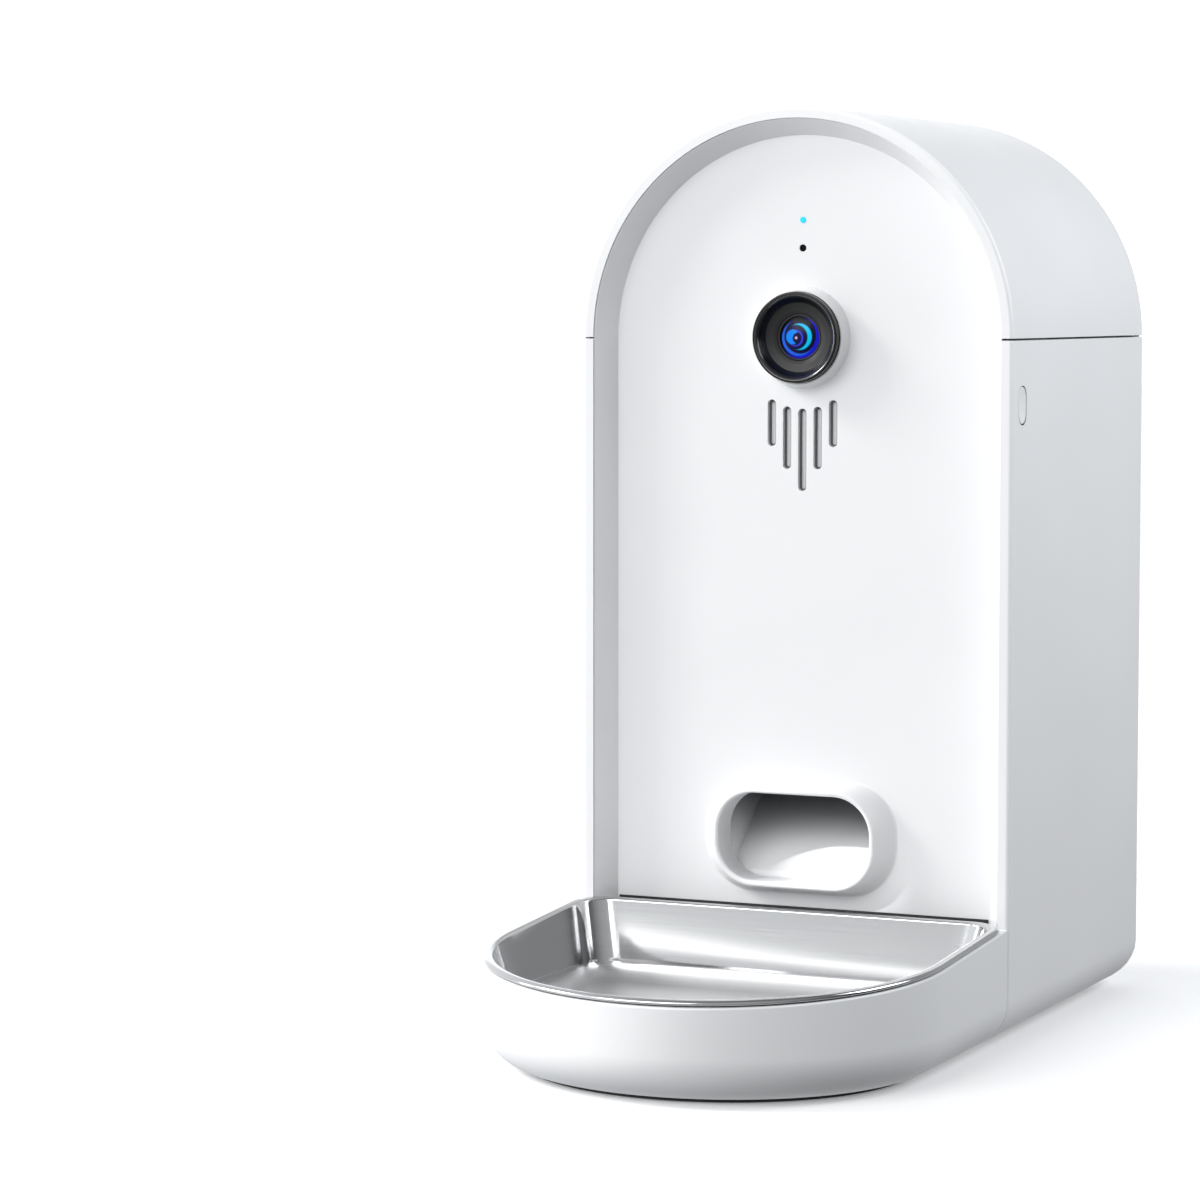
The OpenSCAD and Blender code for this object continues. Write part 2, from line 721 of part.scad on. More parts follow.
// Tray and bowl are skins over rings that follow the tray's outline and its sloping edge.
tray_t = 3;
tray_gap = 0.3;
function round_rings(r, base, z0, rear) = [for (a = [0 : 15 : 75])
    level_ring(tray_outline(base + r * (1 - sin(a)), rear), z0 + r * (1 - cos(a)))];

module bowl_tray() color(white) {
    inner_r = edge_r - tray_t;
    difference() {
        loft(concat(round_rings(edge_r, 0, foot_h, -tray_gap),
            [level_ring(tray_outline(0, -tray_gap), foot_h + edge_r),
            edge_ring(tray_outline(0, -tray_gap), 0)]));
        loft(concat(round_rings(inner_r, tray_t, foot_h + tray_t, -tray_gap - tray_t),
            [level_ring(tray_outline(tray_t, -tray_gap - tray_t), foot_h + edge_r),
            edge_ring(tray_outline(tray_t, -tray_gap - tray_t), 2)]));
        box([-half_w + bowl_corner, -tray_t - 1, tray_rear - 5], [half_w - bowl_corner, 1, tray_rear + 5]);
    }
    both_sides() box([tongue_at - tongue_w / 2, -tray_gap - 1, tongue_z[0]],
        [tongue_at + tongue_w / 2, panel_back + 4, tongue_z[1]]);
}

// The bowl hangs by its rolled rim on the tray's edge.
bowl_t = 0.9;
bowl_inset = tray_t + 0.5;
bowl_draft = 5;
bowl_r = 10;
rim_rest = 0.3;
rim_h = 2.4;
function bowl_rings(inset, z0, r) = [for (a = [0 : 18 : 90])
    let (side = bowl_inset + bowl_draft + inset + r * (1 - sin(a)))
    level_ring(bowl_outline(side, -side, bowl_corner), z0 + r * (1 - cos(a)))];

module food_bowl() color(steel) {
    outer = bowl_outline(bowl_inset, -bowl_inset, bowl_corner);
    inner = bowl_outline(bowl_inset + bowl_t, -bowl_inset - bowl_t, bowl_corner);
    bead_out = bowl_outline(bowl_inset - bead_w + bowl_t, -0.9, bowl_corner);
    difference() {
        union() {
            loft(concat(bowl_rings(0, bowl_floor - bowl_t, bowl_r), [edge_ring(outer, rim_rest + 0.2)]));
            loft([edge_ring(bead_out, rim_rest), edge_ring(bead_out, rim_rest + rim_h * 0.7),
                edge_ring(bowl_outline(bowl_inset - bead_w * 0.7, -1.7, bowl_corner), rim_rest + rim_h)]);
        }
        loft(concat(bowl_rings(bowl_t, bowl_floor, bowl_r - bowl_t),
            [edge_ring(inner, rim_rest + rim_h + 1)]));
    }
}

module gearbox_case() color("#3a3d40") {
    low = [case_x[0], case_y[0], case_z0];
    high = [case_x[1], case_y[1], deck_z - 0.1];
    side = [case_t, case_t, 0];
    difference() {
        union() {
            difference() {
                box(low, high);
                box(low + side + [0, 0, case_floor], high - side + [0, 0, 1]);
            }
            for (p = ear_spots) rod_z(ear_r, deck_z - ear_h, deck_z - 0.1, p);
        }
        rod_z(journal_r + run_gap, case_z0 - 1, case_z0 + case_floor + 1, [0, well_y]);
        rod_z(axle_r + fit_gap, case_z0 - 1, case_z0 + case_floor + 1, idler_at);
        rod_z(motor_shaft_r + 2.5, case_z0 - 1, case_z0 + case_floor + 1, pinion_at);
        for (p = ear_spots) rod_z(screw_r + 0.2, deck_z - ear_h - 1, deck_z, p);
    }
}

module gear(teeth, z, at, turn, bore) {
    difference() {
        translate([at[0], at[1], z[0]]) rotate(turn) linear_extrude(z[1] - z[0])
            polygon(gear_outline(teeth));
        rod_z(bore, z[0] - 1, z[1] + 1, at);
    }
}

module output_gear() color("ivory") {
    gear(large_teeth, gear_a, [0, well_y], 90, shaft_r + fit_gap);
}

module idler_gear() color("ivory") {
    gear(large_teeth, gear_b, idler_at, 180, axle_r + run_gap);
    gear(small_teeth, [gear_b[1], gear_a[1]], idler_at, 270 + 180 / small_teeth, axle_r + run_gap);
}

module idler_axle() color(steel) {
    rod_z(axle_r, case_z0, deck_z - 0.1, idler_at);
}

module motor_pinion() color("ivory") {
    gear(small_teeth, gear_b, pinion_at, 180 / small_teeth, motor_shaft_r + fit_gap);
}

module motor_shaft() color(steel) {
    rod_z(motor_shaft_r, case_z0 - 12, gear_b[1], pinion_at);
}

module motor() color("slategray") {
    difference() {
        union() {
            rod_z(motor_r, case_z0 - motor_h, case_z0 - 0.1, pinion_at);
            rod_z(5, case_z0 - motor_h - 3, case_z0 - motor_h + 1, pinion_at);
        }
        rod_z(motor_shaft_r + run_gap, case_z0 - 13, case_z0 + 1, pinion_at);
    }
}

module camera_bezel() color(dark) {
    tube = barrel_r + 3;
    bore = barrel_r + 0.1;
    turned([[bore, camera_seat + 0.8], [bore + 2, camera_seat], [camera_r - 3.6, camera_front + 3.2],
        [camera_r - 0.8, camera_front], [camera_r - 0.4, camera_front], [camera_r, camera_front + 0.5],
        [camera_r, recess_d], [tube, recess_d], [tube, tube_y], [bore, tube_y]], camera_z);
}

module lens_barrel() color("#1b1c1e") {
    front = camera_seat + 0.9;
    bore = lens_d / 2 + 0.05;
    turned([[bore, front], [barrel_r, front], [barrel_r, barrel_back], [0, barrel_back],
        [0, barrel_back - 4], [sensor_half, barrel_back - 4], [bore, front + 4]], camera_z);
}

module lens_glass() color("steelblue") {
    edge = camera_seat + 1.4;
    dome = 1.8;
    front = [for (i = [0 : 8]) let (k = i / 8) [k * lens_d / 2, edge - dome * (1 - k * k)]];
    turned(concat(front, [[lens_d / 2, edge + 1.4], [0, edge + 1.4]]), camera_z);
}

module camera_board() color(board_green) {
    h = camera_board_half;
    box([-h, barrel_back, camera_z - h], [h, barrel_back + board_t, camera_z + h]);
    box([-sensor_half, barrel_back + board_t - 0.1, camera_z - sensor_half],
        [sensor_half, barrel_back + 4, camera_z + sensor_half]);
}

module status_light() color("cyan") {
    rod_y(light_r, recess_d - 0.3, panel_back + sensor_d, 0, light_z);
}

module microphone() color(dark) {
    rod_y(mic_r, panel_back, panel_back + sensor_d, 0, mic_z);
    rod_y(mic_hole_r - 0.1, recess_d + 0.3, panel_back + 0.1, 0, mic_z);
}

module indicator_board() color(board_green) {
    y = panel_back + sensor_d;
    box([-small_board / 2, y, mic_z - 2 * mic_r], [small_board / 2, y + board_t, light_z + 2 * mic_r]);
}

module dust_screen() color("gray") {
    box([-screen_half[0], panel_back, speaker_z - screen_half[1]],
        [screen_half[0], panel_back + screen_t, speaker_z + screen_half[1]]);
}

module speaker_frame() color(dark) {
    y = panel_back + screen_t;
    back = y + speaker_deep;
    rim = speaker_r - 2.5;
    turned([[rim, y], [speaker_r, y], [speaker_r, y + 5], [magnet_r, back - 6], [magnet_r, back],
        [0, back], [0, back - 4], [magnet_r - 2, back - 7], [rim, y + 4]], speaker_z);
}

module speaker_cone() color("dimgray") {
    y = panel_back + screen_t;
    edge = speaker_r - 2.7;
    turned([[0, y + cone_deep], [cone_cap_r, y + cone_deep + 0.6], [edge, y + 1.2], [edge, y + 2.2],
        [cone_cap_r + 0.4, y + cone_deep + cone_t + 0.8], [0, y + cone_deep + cone_t]], speaker_z);
}

module main_board() color(board_green) {
    low = [-board_x - board_edge, board_y, board_z[0] - board_edge];
    high = [board_x + board_edge, board_y + board_t, board_z[1] + board_edge];
    chip_y = board_y + board_t - 0.1;
    difference() {
        box(low, high);
        for (p = board_spots) rod_y(screw_r + 0.2, board_y - 1, board_y + board_t + 1, p[0], p[1]);
    }
    box([-12, chip_y, deck_z + 20], [12, chip_y + 2.1, deck_z + 44]);
    box([22, chip_y, deck_z + 22], [34, chip_y + 4.1, deck_z + 40]);
}

module power_inlet() color(dark) {
    front = back_in - 12;
    difference() {
        union() {
            rod_y(inlet_r, front, body_d - 0.4, inlet_x, inlet_z);
            box([inlet_x - inlet_block, front - 6, inlet_z - inlet_block],
                [inlet_x + inlet_block, back_in - 1, inlet_z + inlet_block]);
        }
        rod_y(inlet_bore, body_d - inlet_deep, body_d, inlet_x, inlet_z);
    }
    rod_y(inlet_pin_r, body_d - inlet_deep - 0.1, body_d - 2, inlet_x, inlet_z);
}

module release_button() {
    stem = [catch_y, button_z - 7.5];
    nose_top = seam_h - tongue_drop + 8;
    stop = inner_w - slack;
    along_x(stop - 0.1, half_w) button_outline(0);
    intersection() {
        along_x(stop - flange_t, stop) button_outline(0.8);
        box([0, button_y - 1, button_z - button_h], [half_w, button_y + button_w, button_z + button_h]);
    }
    box([stop - flange_t, button_y - 1, stem[1]], [stop, stem[0] + catch_d, button_z + 1]);
    box([catch_x - 4, stem[0], stem[1]], [stop - flange_t + 0.1, stem[0] + catch_d, button_z + 1]);
    box([catch_x, stem[0], stem[1]], [catch_x + 3.4, stem[0] + catch_d, nose_top]);
    box([catch_x + 3.3, stem[0], nose_top - 5], [tongue_x[0] - slack, stem[0] + catch_d, nose_top]);
}

module right_button() color(white) {
    release_button();
}

module left_button() color(white) {
    mirror([1, 0, 0]) release_button();
}

// A coil spring along X between the panel's seat and the button's stem.
function coil_at(a, length) = [spring_seat_x + wire_r + 0.1 + length * a / (360 * spring_turns),
    catch_y + catch_d / 2 + spring_r * cos(a), button_z - 3.2 + spring_r * sin(a)];

module button_spring() {
    length = catch_x - 4 - spring_seat_x - 2 * wire_r - 0.2;
    turns = 360 * spring_turns;
    loft([for (a = [0 : 30 : turns]) let (p = coil_at(a, length)) [for (k = [0 : 5]) let (b = 60 * k)
        p + wire_r * [sin(b), cos(b) * cos(a), cos(b) * sin(a)]]]);
}

module right_button_spring() color(steel) {
    button_spring();
}

module left_button_spring() color(steel) {
    mirror([1, 0, 0]) button_spring();
}

module base_screws() color(steel) {
    for (p = base_spots) screw_up(p, foot_h + 0.1, floor_z + 7);
}

module cup_screws() color(steel) {
    for (p = post_spots) screw_up(p, foot_h + 0.1, plate_top + post_bore - 1);
}

module panel_screws() color(steel) {
    for (p = boss_spots) screw_front(p, panel_back + 0.6, boss_y + cup_wall + head_h);
}

module cover_screws() color(steel) {
    for (p = cover_spots) screw_front(p, bay_y - 8, bay_y + cover_t + head_h);
}

module gearbox_screws() color(steel) {
    for (p = ear_spots) screw_up(p, deck_z - ear_h - head_h, deck_z + 2.4);
}

module board_screws() color(steel) {
    for (p = board_spots) screw_front(p, board_y - 6, board_y + board_t + head_h);
}

// Puts the rim plane where the whole feeder is centred on the origin.
module place() {
    translate([0, rim_y, 0]) children();
}

place() main_shell();
place() base_plate();
place() lid_shell();
place() lid_liner();
place() lid_seal();
place() hinge_pin();
place() front_panel();
place() bay_cover();
place() desiccant_box();
place() desiccant_cover();
place() hopper();
place() dosing_cup();
place() drop_shield();
place() rotor();
place() stirrer();
place() drive_shaft();
place() rotor_bush();
place() food_chute();
place() outlet_collar();
place() bowl_tray();
place() food_bowl();
place() body_feet();
place() tray_feet();
place() gearbox_case();
place() output_gear();
place() idler_gear();
place() idler_axle();
place() motor();
place() motor_shaft();
place() motor_pinion();
place() camera_bezel();
place() lens_barrel();
place() lens_glass();
place() camera_board();
place() status_light();
place() microphone();
place() indicator_board();
place() dust_screen();
place() speaker_frame();
place() speaker_cone();
place() main_board();
place() power_inlet();
place() left_button();
place() right_button();
place() left_button_spring();
place() right_button_spring();
place() base_screws();
place() cup_screws();
place() panel_screws();
place() cover_screws();
place() gearbox_screws();
place() board_screws();
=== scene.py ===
"""Looks of the automatic pet feeder: shells, panel, camera, outlet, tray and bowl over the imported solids."""
import json
import math

import bmesh
import bpy
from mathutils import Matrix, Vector


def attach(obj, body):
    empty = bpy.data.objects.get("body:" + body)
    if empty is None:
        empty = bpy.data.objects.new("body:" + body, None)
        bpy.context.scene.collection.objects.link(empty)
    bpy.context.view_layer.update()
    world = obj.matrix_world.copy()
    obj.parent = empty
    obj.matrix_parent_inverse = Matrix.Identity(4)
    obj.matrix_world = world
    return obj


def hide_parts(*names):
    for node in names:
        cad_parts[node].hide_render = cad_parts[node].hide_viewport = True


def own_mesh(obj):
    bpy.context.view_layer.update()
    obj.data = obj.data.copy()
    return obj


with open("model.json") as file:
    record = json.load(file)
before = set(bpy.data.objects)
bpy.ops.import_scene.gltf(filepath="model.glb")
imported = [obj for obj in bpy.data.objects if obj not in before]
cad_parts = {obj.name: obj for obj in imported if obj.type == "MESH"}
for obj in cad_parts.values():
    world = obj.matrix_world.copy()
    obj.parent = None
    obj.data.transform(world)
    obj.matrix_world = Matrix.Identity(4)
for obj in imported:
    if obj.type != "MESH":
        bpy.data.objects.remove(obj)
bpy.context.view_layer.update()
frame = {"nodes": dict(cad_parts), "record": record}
nodes = frame["nodes"]
scene = bpy.context.scene
MM = 0.001

# Sizes in millimetres, measured from the front rim, the middle and the floor.
RIM_Y = -6.75
HALF_W = 95.0
FOOT_H = 1.5
EDGE_R = 18.0
RECESS = 11.0
PANEL_BACK = 13.4
CAMERA_Z = 288.5
SEAM_Z = 288.0
BUTTON_W, BUTTON_H, BUTTON_R, BUTTON_GAP = 9.2, 15.4, 4.2, 0.3
BUTTON_Y, BUTTON_DOWN, BUTTON_TRAVEL = 12.4, 26.6, 2.5
OUTLET_Z, OUTLET_W, OUTLET_H, OUTLET_R = 81.0, 67.3, 36.8, 16.0
LENS_R, LENS_EDGE, LENS_CROWN, LENS_SKIRT = 8.7, 7.9, 1.8, 1.4
TRAY_SIDE, TRAY_END, TRAY_RIM, TRAY_RISE = 76.0, 90.0, 50.0, 11.0
SLOT_PITCH, SLOT_W = 6.8, 3.6
LINER_FRONT = 46.0
BROAD_EDGE, BROAD_STEPS = 1.7, 5


def spot(x, y, z):
    """A point given from the rim plane, in the shared frame."""
    return Vector((x, y + RIM_Y, z)) * MM


# Finishes.


class Finish:
    """A procedural material on a piece's own coordinates."""

    def __init__(self, name, colour, rough, metal=0.0):
        self.mat = bpy.data.materials.new(name)
        self.mat.use_nodes = True
        self.tree = self.mat.node_tree
        self.shader = self.tree.nodes["Principled BSDF"]
        self.set("Base Color", (*colour, 1.0))
        self.set("Roughness", rough)
        self.set("Metallic", metal)
        self.where = self.node("ShaderNodeTexCoord")
        self.bump = None

    def set(self, socket, value):
        self.shader.inputs[socket].default_value = value
        return self

    def node(self, kind, **values):
        made = self.tree.nodes.new(kind)
        for key, value in values.items():
            if key in made.inputs:
                made.inputs[key].default_value = value
            else:
                setattr(made, key, value)
        return made

    def link(self, a, out, b, into):
        self.tree.links.new(a.outputs[out], b.inputs[into])

    def noise(self, scale, detail=3.0, stretch=(1.0, 1.0, 1.0), uv=False):
        """Noise on Object coordinates, or along the piece's own surface map."""
        turn = self.node("ShaderNodeMapping")
        turn.inputs["Scale"].default_value = stretch
        self.link(self.where, "UV" if uv else "Object", turn, "Vector")
        cloud = self.node("ShaderNodeTexNoise", Scale=scale, Detail=detail, Roughness=0.55)
        self.link(turn, "Vector", cloud, "Vector")
        return cloud

    def mottle(self, dark, light, scale, **kind):
        """Colour that drifts between two tones."""
        ramp = self.node("ShaderNodeValToRGB")
        ramp.color_ramp.elements[0].position = 0.3
        ramp.color_ramp.elements[1].position = 0.7
        ramp.color_ramp.elements[0].color = (*dark, 1.0)
        ramp.color_ramp.elements[1].color = (*light, 1.0)
        self.link(self.noise(scale, **kind), "Fac", ramp, "Fac")
        self.link(ramp, "Color", self.shader, "Base Color")
        return self

    def wear(self, low, high, scale, **kind):
        """Gloss that drifts between two roughnesses."""
        span = self.node("ShaderNodeMapRange")
        span.inputs["From Min"].default_value = 0.3
        span.inputs["From Max"].default_value = 0.7
        span.inputs["To Min"].default_value = low
        span.inputs["To Max"].default_value = high
        self.link(self.noise(scale, **kind), "Fac", span, "Value")
        self.link(span, "Result", self.shader, "Roughness")
        return self

    def satin_below(self, full, none, more):
        """Adds roughness towards the bottom of a piece, by height in metres."""
        split = self.node("ShaderNodeSeparateXYZ")
        self.link(self.where, "Object", split, "Vector")
        span = self.node("ShaderNodeMapRange", interpolation_type="SMOOTHSTEP")
        for name, value in (("From Min", full), ("From Max", none), ("To Min", more), ("To Max", 0.0)):
            span.inputs[name].default_value = value
        self.link(split, "Z", span, "Value")
        both = self.node("ShaderNodeMath", operation="ADD")
        self.tree.links.new(self.shader.inputs["Roughness"].links[0].from_socket, both.inputs[0])
        self.link(span, "Result", both, 1)
        self.link(both, 0, self.shader, "Roughness")
        return self

    def grain(self, scale, depth, strength=0.3, **kind):
        """Fine relief, added over any relief before it."""
        relief = self.node("ShaderNodeBump", Strength=strength, Distance=depth)
        self.link(self.noise(scale, **kind), "Fac", relief, "Height")
        if self.bump:
            self.link(self.bump, "Normal", relief, "Normal")
        self.link(relief, "Normal", self.shader, "Normal")
        self.bump = relief
        return self


def plastic(name, dark, light, rough, grain_scale=2200.0, grain_depth=0.00003):
    """A moulded plastic between two tones, with uneven gloss and a fine grain."""
    made = Finish(name, light, rough)
    made.mottle(dark, light, 9.0, detail=2.0)
    made.wear(rough * 0.88, rough * 1.12, 55.0)
    made.grain(grain_scale, grain_depth, 0.18, detail=2.0)
    return made


satin_white = plastic("satin_white", (0.80, 0.805, 0.815), (0.83, 0.835, 0.845), 0.36)
liner_white = plastic("liner_white", (0.76, 0.765, 0.77), (0.80, 0.805, 0.81), 0.45)
moulded_grey = plastic("moulded_grey", (0.42, 0.43, 0.44), (0.48, 0.49, 0.50), 0.50)
hopper_smoke = plastic("hopper_smoke", (0.50, 0.515, 0.53), (0.57, 0.585, 0.60), 0.22)
rotor_orange = plastic("rotor_orange", (0.72, 0.22, 0.035), (0.82, 0.28, 0.05), 0.42)
gear_ivory = plastic("gear_ivory", (0.70, 0.66, 0.55), (0.78, 0.74, 0.64), 0.38)
camera_black = plastic("camera_black", (0.008, 0.008, 0.009), (0.016, 0.016, 0.017), 0.30)
socket_black = plastic("socket_black", (0.012, 0.012, 0.013), (0.025, 0.025, 0.027), 0.46)
seal_grey = plastic("seal_grey", (0.36, 0.36, 0.37), (0.42, 0.42, 0.43), 0.62, 900.0, 0.00005)
foot_black = plastic("foot_black", (0.015, 0.015, 0.016), (0.03, 0.03, 0.032), 0.72, 700.0, 0.00008)
screen_grey = plastic("screen_grey", (0.58, 0.585, 0.595), (0.66, 0.665, 0.675), 0.6, 1600.0, 0.00008)
boot_black = plastic("boot_black", (0.003, 0.003, 0.003), (0.006, 0.006, 0.006), 0.8, 900.0, 0.00005)
boot_black.set("Specular IOR Level", 0.08)
# Painted shade: the dark grey of the rings inside the speaker slots.
slot_shadow_grey = plastic("slot_shadow_grey", (0.08, 0.08, 0.082), (0.12, 0.12, 0.123), 0.7, 900.0, 0.00005)

# The chute: white by the mouth, darkened further up inside by painted shade, by height in metres.
CHUTE_WHITE_Z, CHUTE_SHADED_Z = 0.070, 0.100
chute_painted_shade = Finish("chute_painted_shade", (0.8, 0.8, 0.81), 0.45)
inside = chute_painted_shade.node("ShaderNodeSeparateXYZ")
chute_painted_shade.link(chute_painted_shade.where, "Object", inside, "Vector")
depth = chute_painted_shade.node("ShaderNodeMapRange", interpolation_type="SMOOTHSTEP")
depth.inputs["From Min"].default_value = CHUTE_WHITE_Z
depth.inputs["From Max"].default_value = CHUTE_SHADED_Z
chute_painted_shade.link(inside, "Z", depth, "Value")
shade = chute_painted_shade.node("ShaderNodeValToRGB")
# Painted shade: the dark end of this ramp stands in for the shade deep inside the chute.
shade.color_ramp.elements[0].color = (0.82, 0.822, 0.83, 1.0)
shade.color_ramp.elements[1].color = (0.13, 0.132, 0.136, 1.0)
chute_painted_shade.link(depth, "Result", shade, "Fac")
chute_painted_shade.link(shade, "Color", chute_painted_shade.shader, "Base Color")
chute_painted_shade.wear(0.40, 0.52, 60.0)
chute_painted_shade.grain(2200.0, 0.00003, 0.18, detail=2.0)

turned_steel = Finish("turned_steel", (0.62, 0.63, 0.64), 0.28, 1.0)
turned_steel.mottle((0.56, 0.57, 0.58), (0.66, 0.67, 0.68), 140.0)
turned_steel.wear(0.22, 0.36, 320.0)
turned_steel.grain(2600.0, 0.00002, 0.2)

brushed_steel = Finish("brushed_steel", (0.62, 0.622, 0.626), 0.2, 1.0)
brushed_steel.mottle((0.60, 0.602, 0.606), (0.625, 0.627, 0.63), 1.0, stretch=(6.0, 700.0, 1.0), uv=True)
brushed_steel.wear(0.110, 0.135, 1.0, stretch=(10.0, 1500.0, 1.0), uv=True)
brushed_steel.satin_below(0.0190, 0.0285, 0.48)
brushed_steel.grain(1.0, 0.000005, 0.02, stretch=(16.0, 2600.0, 1.0), uv=True)

bush_brass = Finish("bush_brass", (0.72, 0.52, 0.22), 0.3, 1.0)
bush_brass.mottle((0.62, 0.43, 0.16), (0.76, 0.56, 0.25), 200.0).wear(0.24, 0.4, 400.0)

motor_tin = Finish("motor_tin", (0.45, 0.46, 0.47), 0.38, 1.0)
motor_tin.mottle((0.38, 0.39, 0.40), (0.50, 0.51, 0.52), 60.0).wear(0.3, 0.45, 150.0)
motor_tin.grain(1400.0, 0.00002, 0.2)

cone_paper = plastic("cone_paper", (0.03, 0.03, 0.032), (0.06, 0.06, 0.063), 0.85, 500.0, 0.0002)

# Circuit boards: green lacquer with paler copper runs under it.
board_green = Finish("board_green", (0.03, 0.16, 0.07), 0.35)
copper = board_green.node("ShaderNodeTexBrick", Scale=160.0)
copper.inputs["Color1"].default_value = (0.022, 0.13, 0.055, 1.0)
copper.inputs["Color2"].default_value = (0.03, 0.17, 0.075, 1.0)
copper.inputs["Mortar"].default_value = (0.10, 0.32, 0.14, 1.0)
copper.inputs["Mortar Size"].default_value = 0.035
upright = board_green.node("ShaderNodeMapping")
upright.inputs["Rotation"].default_value = (math.radians(90), 0.0, 0.0)
board_green.link(board_green.where, "Object", upright, "Vector")
board_green.link(upright, "Vector", copper, "Vector")
board_green.link(copper, "Color", board_green.shader, "Base Color")
board_green.wear(0.28, 0.42, 90.0)

light_cyan = Finish("light_cyan", (0.0, 0.50, 0.62), 0.25)
light_cyan.mottle((0.0, 0.40, 0.52), (0.004, 0.55, 0.66), 900.0)
light_cyan.set("Emission Color", (0.0, 0.62, 0.85, 1.0)).set("Emission Strength", 0.55)

SLOT_FINISH = {
    "white_shell": satin_white, "inner_white": liner_white, "grey_plastic": moulded_grey,
    "hopper_plastic": hopper_smoke, "rotor_plastic": rotor_orange, "gear_plastic": gear_ivory,
    "black_plastic": socket_black, "seal_rubber": seal_grey, "foot_rubber": foot_black,
    "steel": turned_steel, "bowl_steel": brushed_steel, "bush_brass": bush_brass,
    "motor_metal": motor_tin, "lens_glass": camera_black, "light_pipe": light_cyan,
    "circuit_board": board_green, "speaker_paper": cone_paper,
}
node_slot = {s["node"]: s["material_slot"] for s in frame["record"]["subparts"]}
node_body = {n: b for b, names in frame["record"]["behaviour"]["bodies"].items() for n in names}

# Making pieces.


def add_piece(name, mesh, finish, node):
    """Puts a mesh with the given finish in place of a CAD node, on the node's own body."""
    mesh.materials.clear()
    mesh.materials.append(finish.mat)
    obj = bpy.data.objects.new(name, mesh)
    scene.collection.objects.link(obj)
    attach(obj, node_body[node])
    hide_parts(node)
    return obj


SHARP_ANGLE, ROUNDED_ANGLE, JOINED_ANGLE = math.radians(38), math.radians(28), math.radians(0.6)


def softened(mesh):
    """Smooth shading that leaves large flat faces flat."""
    obj = bpy.data.objects.new("softening", mesh)
    scene.collection.objects.link(obj)
    mesh.shade_smooth()
    mesh.set_sharp_from_angle(angle=SHARP_ANGLE)
    weigh = obj.modifiers.new("even", "WEIGHTED_NORMAL")
    weigh.keep_sharp = True
    weigh.weight = 90
    now = bpy.context.evaluated_depsgraph_get()
    whole = obj.evaluated_get(now)
    out = bpy.data.meshes.new_from_object(whole, preserve_all_data_layers=True, depsgraph=now)
    bpy.data.objects.remove(obj)
    return out


def round_edges(work, width, steps, keep=None, slide=True):
    """Rounds the sharp edges that keep() accepts, each given by its middle in millimetres from the rim."""
    chosen = []
    for edge in work.edges:
        if len(edge.link_faces) != 2 or edge.calc_face_angle(0.0) < ROUNDED_ANGLE:
            continue
        mid = (edge.verts[0].co + edge.verts[1].co) * 500.0
        if keep is None or keep(mid.x, mid.y - RIM_Y, mid.z):
            chosen.append(edge)
    if chosen:
        bmesh.ops.bevel(work, geom=chosen, offset=width * MM, offset_type="OFFSET", segments=steps,
                        profile=0.5, affect="EDGES", clamp_overlap=slide, loop_slide=slide)


def node_copy(node):
    """A CAD node's mesh with its triangles joined into whole faces."""
    work = bmesh.new()
    work.from_mesh(nodes[node].data)
    bmesh.ops.remove_doubles(work, verts=work.verts, dist=2e-6)
    bmesh.ops.dissolve_limit(work, angle_limit=JOINED_ANGLE, verts=work.verts, edges=work.edges)
    return work


def mesh_of(work, name):
    """The finished mesh of a shape under work."""
    mesh = bpy.data.meshes.new(name)
    work.to_mesh(mesh)
    work.free()
    return mesh


def moulding(node, width=0.3, steps=2, finish=None, broad=None, keep=None):
    """The CAD node as a moulded piece with rounded edges, those that broad() accepts more widely."""
    work = node_copy(node)
    if broad:
        round_edges(work, BROAD_EDGE, BROAD_STEPS, broad, slide=False)
    if width:
        round_edges(work, width, steps, keep)
    finish = finish or SLOT_FINISH[node_slot[node]]
    add_piece(node + "_look", softened(mesh_of(work, node)), finish, node)


def off_buttons(x, y, z):
    """Edges other than those of the holes for the buttons, which stay crisp."""
    margin, wall = 1.0, 3.5
    along = abs(y - BUTTON_Y) < BUTTON_W / 2 + margin
    upward = abs(z - SEAM_Z + BUTTON_DOWN) < BUTTON_H / 2 + margin
    return not (along and upward and abs(x) > HALF_W - wall)


def panel_front(x, y, z):
    """Edges of the panel other than those of its flat back."""
    return y < PANEL_BACK - 0.2


def liner_front(x, y, z):
    """Edges along the front of the lid's liner."""
    return y < LINER_FRONT


def front_edge(x, y, z):
    """The outer edge round the front of the body and the lid."""
    return abs(y) < 0.3 and math.hypot(x, max(z - SEAM_Z, 0.0)) > HALF_W - 0.5


# Steps across a button from its edge to its middle: share of the outline left, and sinking in millimetres.
DISH = ((0.985, 0.34), (0.955, 0.12), (0.915, 0.0), (0.86, 0.05),
        (0.76, 0.26), (0.60, 0.54), (0.40, 0.78), (0.20, 0.90))
DISH_EDGE_DROP = 0.70


def button(node, side):
    """A release button with a rounded edge and a shallow dish in its outer face."""
    work = node_copy(node)
    outer = [f for f in work.faces if f.normal.x * side > 0.9]
    face = max(outer, key=lambda f: f.calc_center_median().x * side)
    rim = list(face.verts)
    centre = face.calc_center_bounds()
    work.faces.remove(face)
    last = rim
    for share, sink in DISH:
        ring = []
        for v in rim:
            at = centre + (v.co - centre) * share
            at.x = v.co.x - side * sink * MM
            ring.append(work.verts.new(at))
        for i in range(len(rim)):
            j = (i + 1) % len(rim)
            work.faces.new((last[i], last[j], ring[j], ring[i]))
        last = ring
    work.faces.new(last)
    for v in rim:
        v.co.x -= side * DISH_EDGE_DROP * MM
    bmesh.ops.recalc_face_normals(work, faces=work.faces)
    add_piece(node + "_look", softened(mesh_of(work, node)), satin_white, node)


def button_spring(name):
    """A button's coil spring, with a mesh of its own."""
    node = name + "_button_spring"
    obj = add_piece(node + "_look", softened(mesh_of(node_copy(node), node)), turned_steel, node)
    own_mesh(obj)


# Skins over rings.


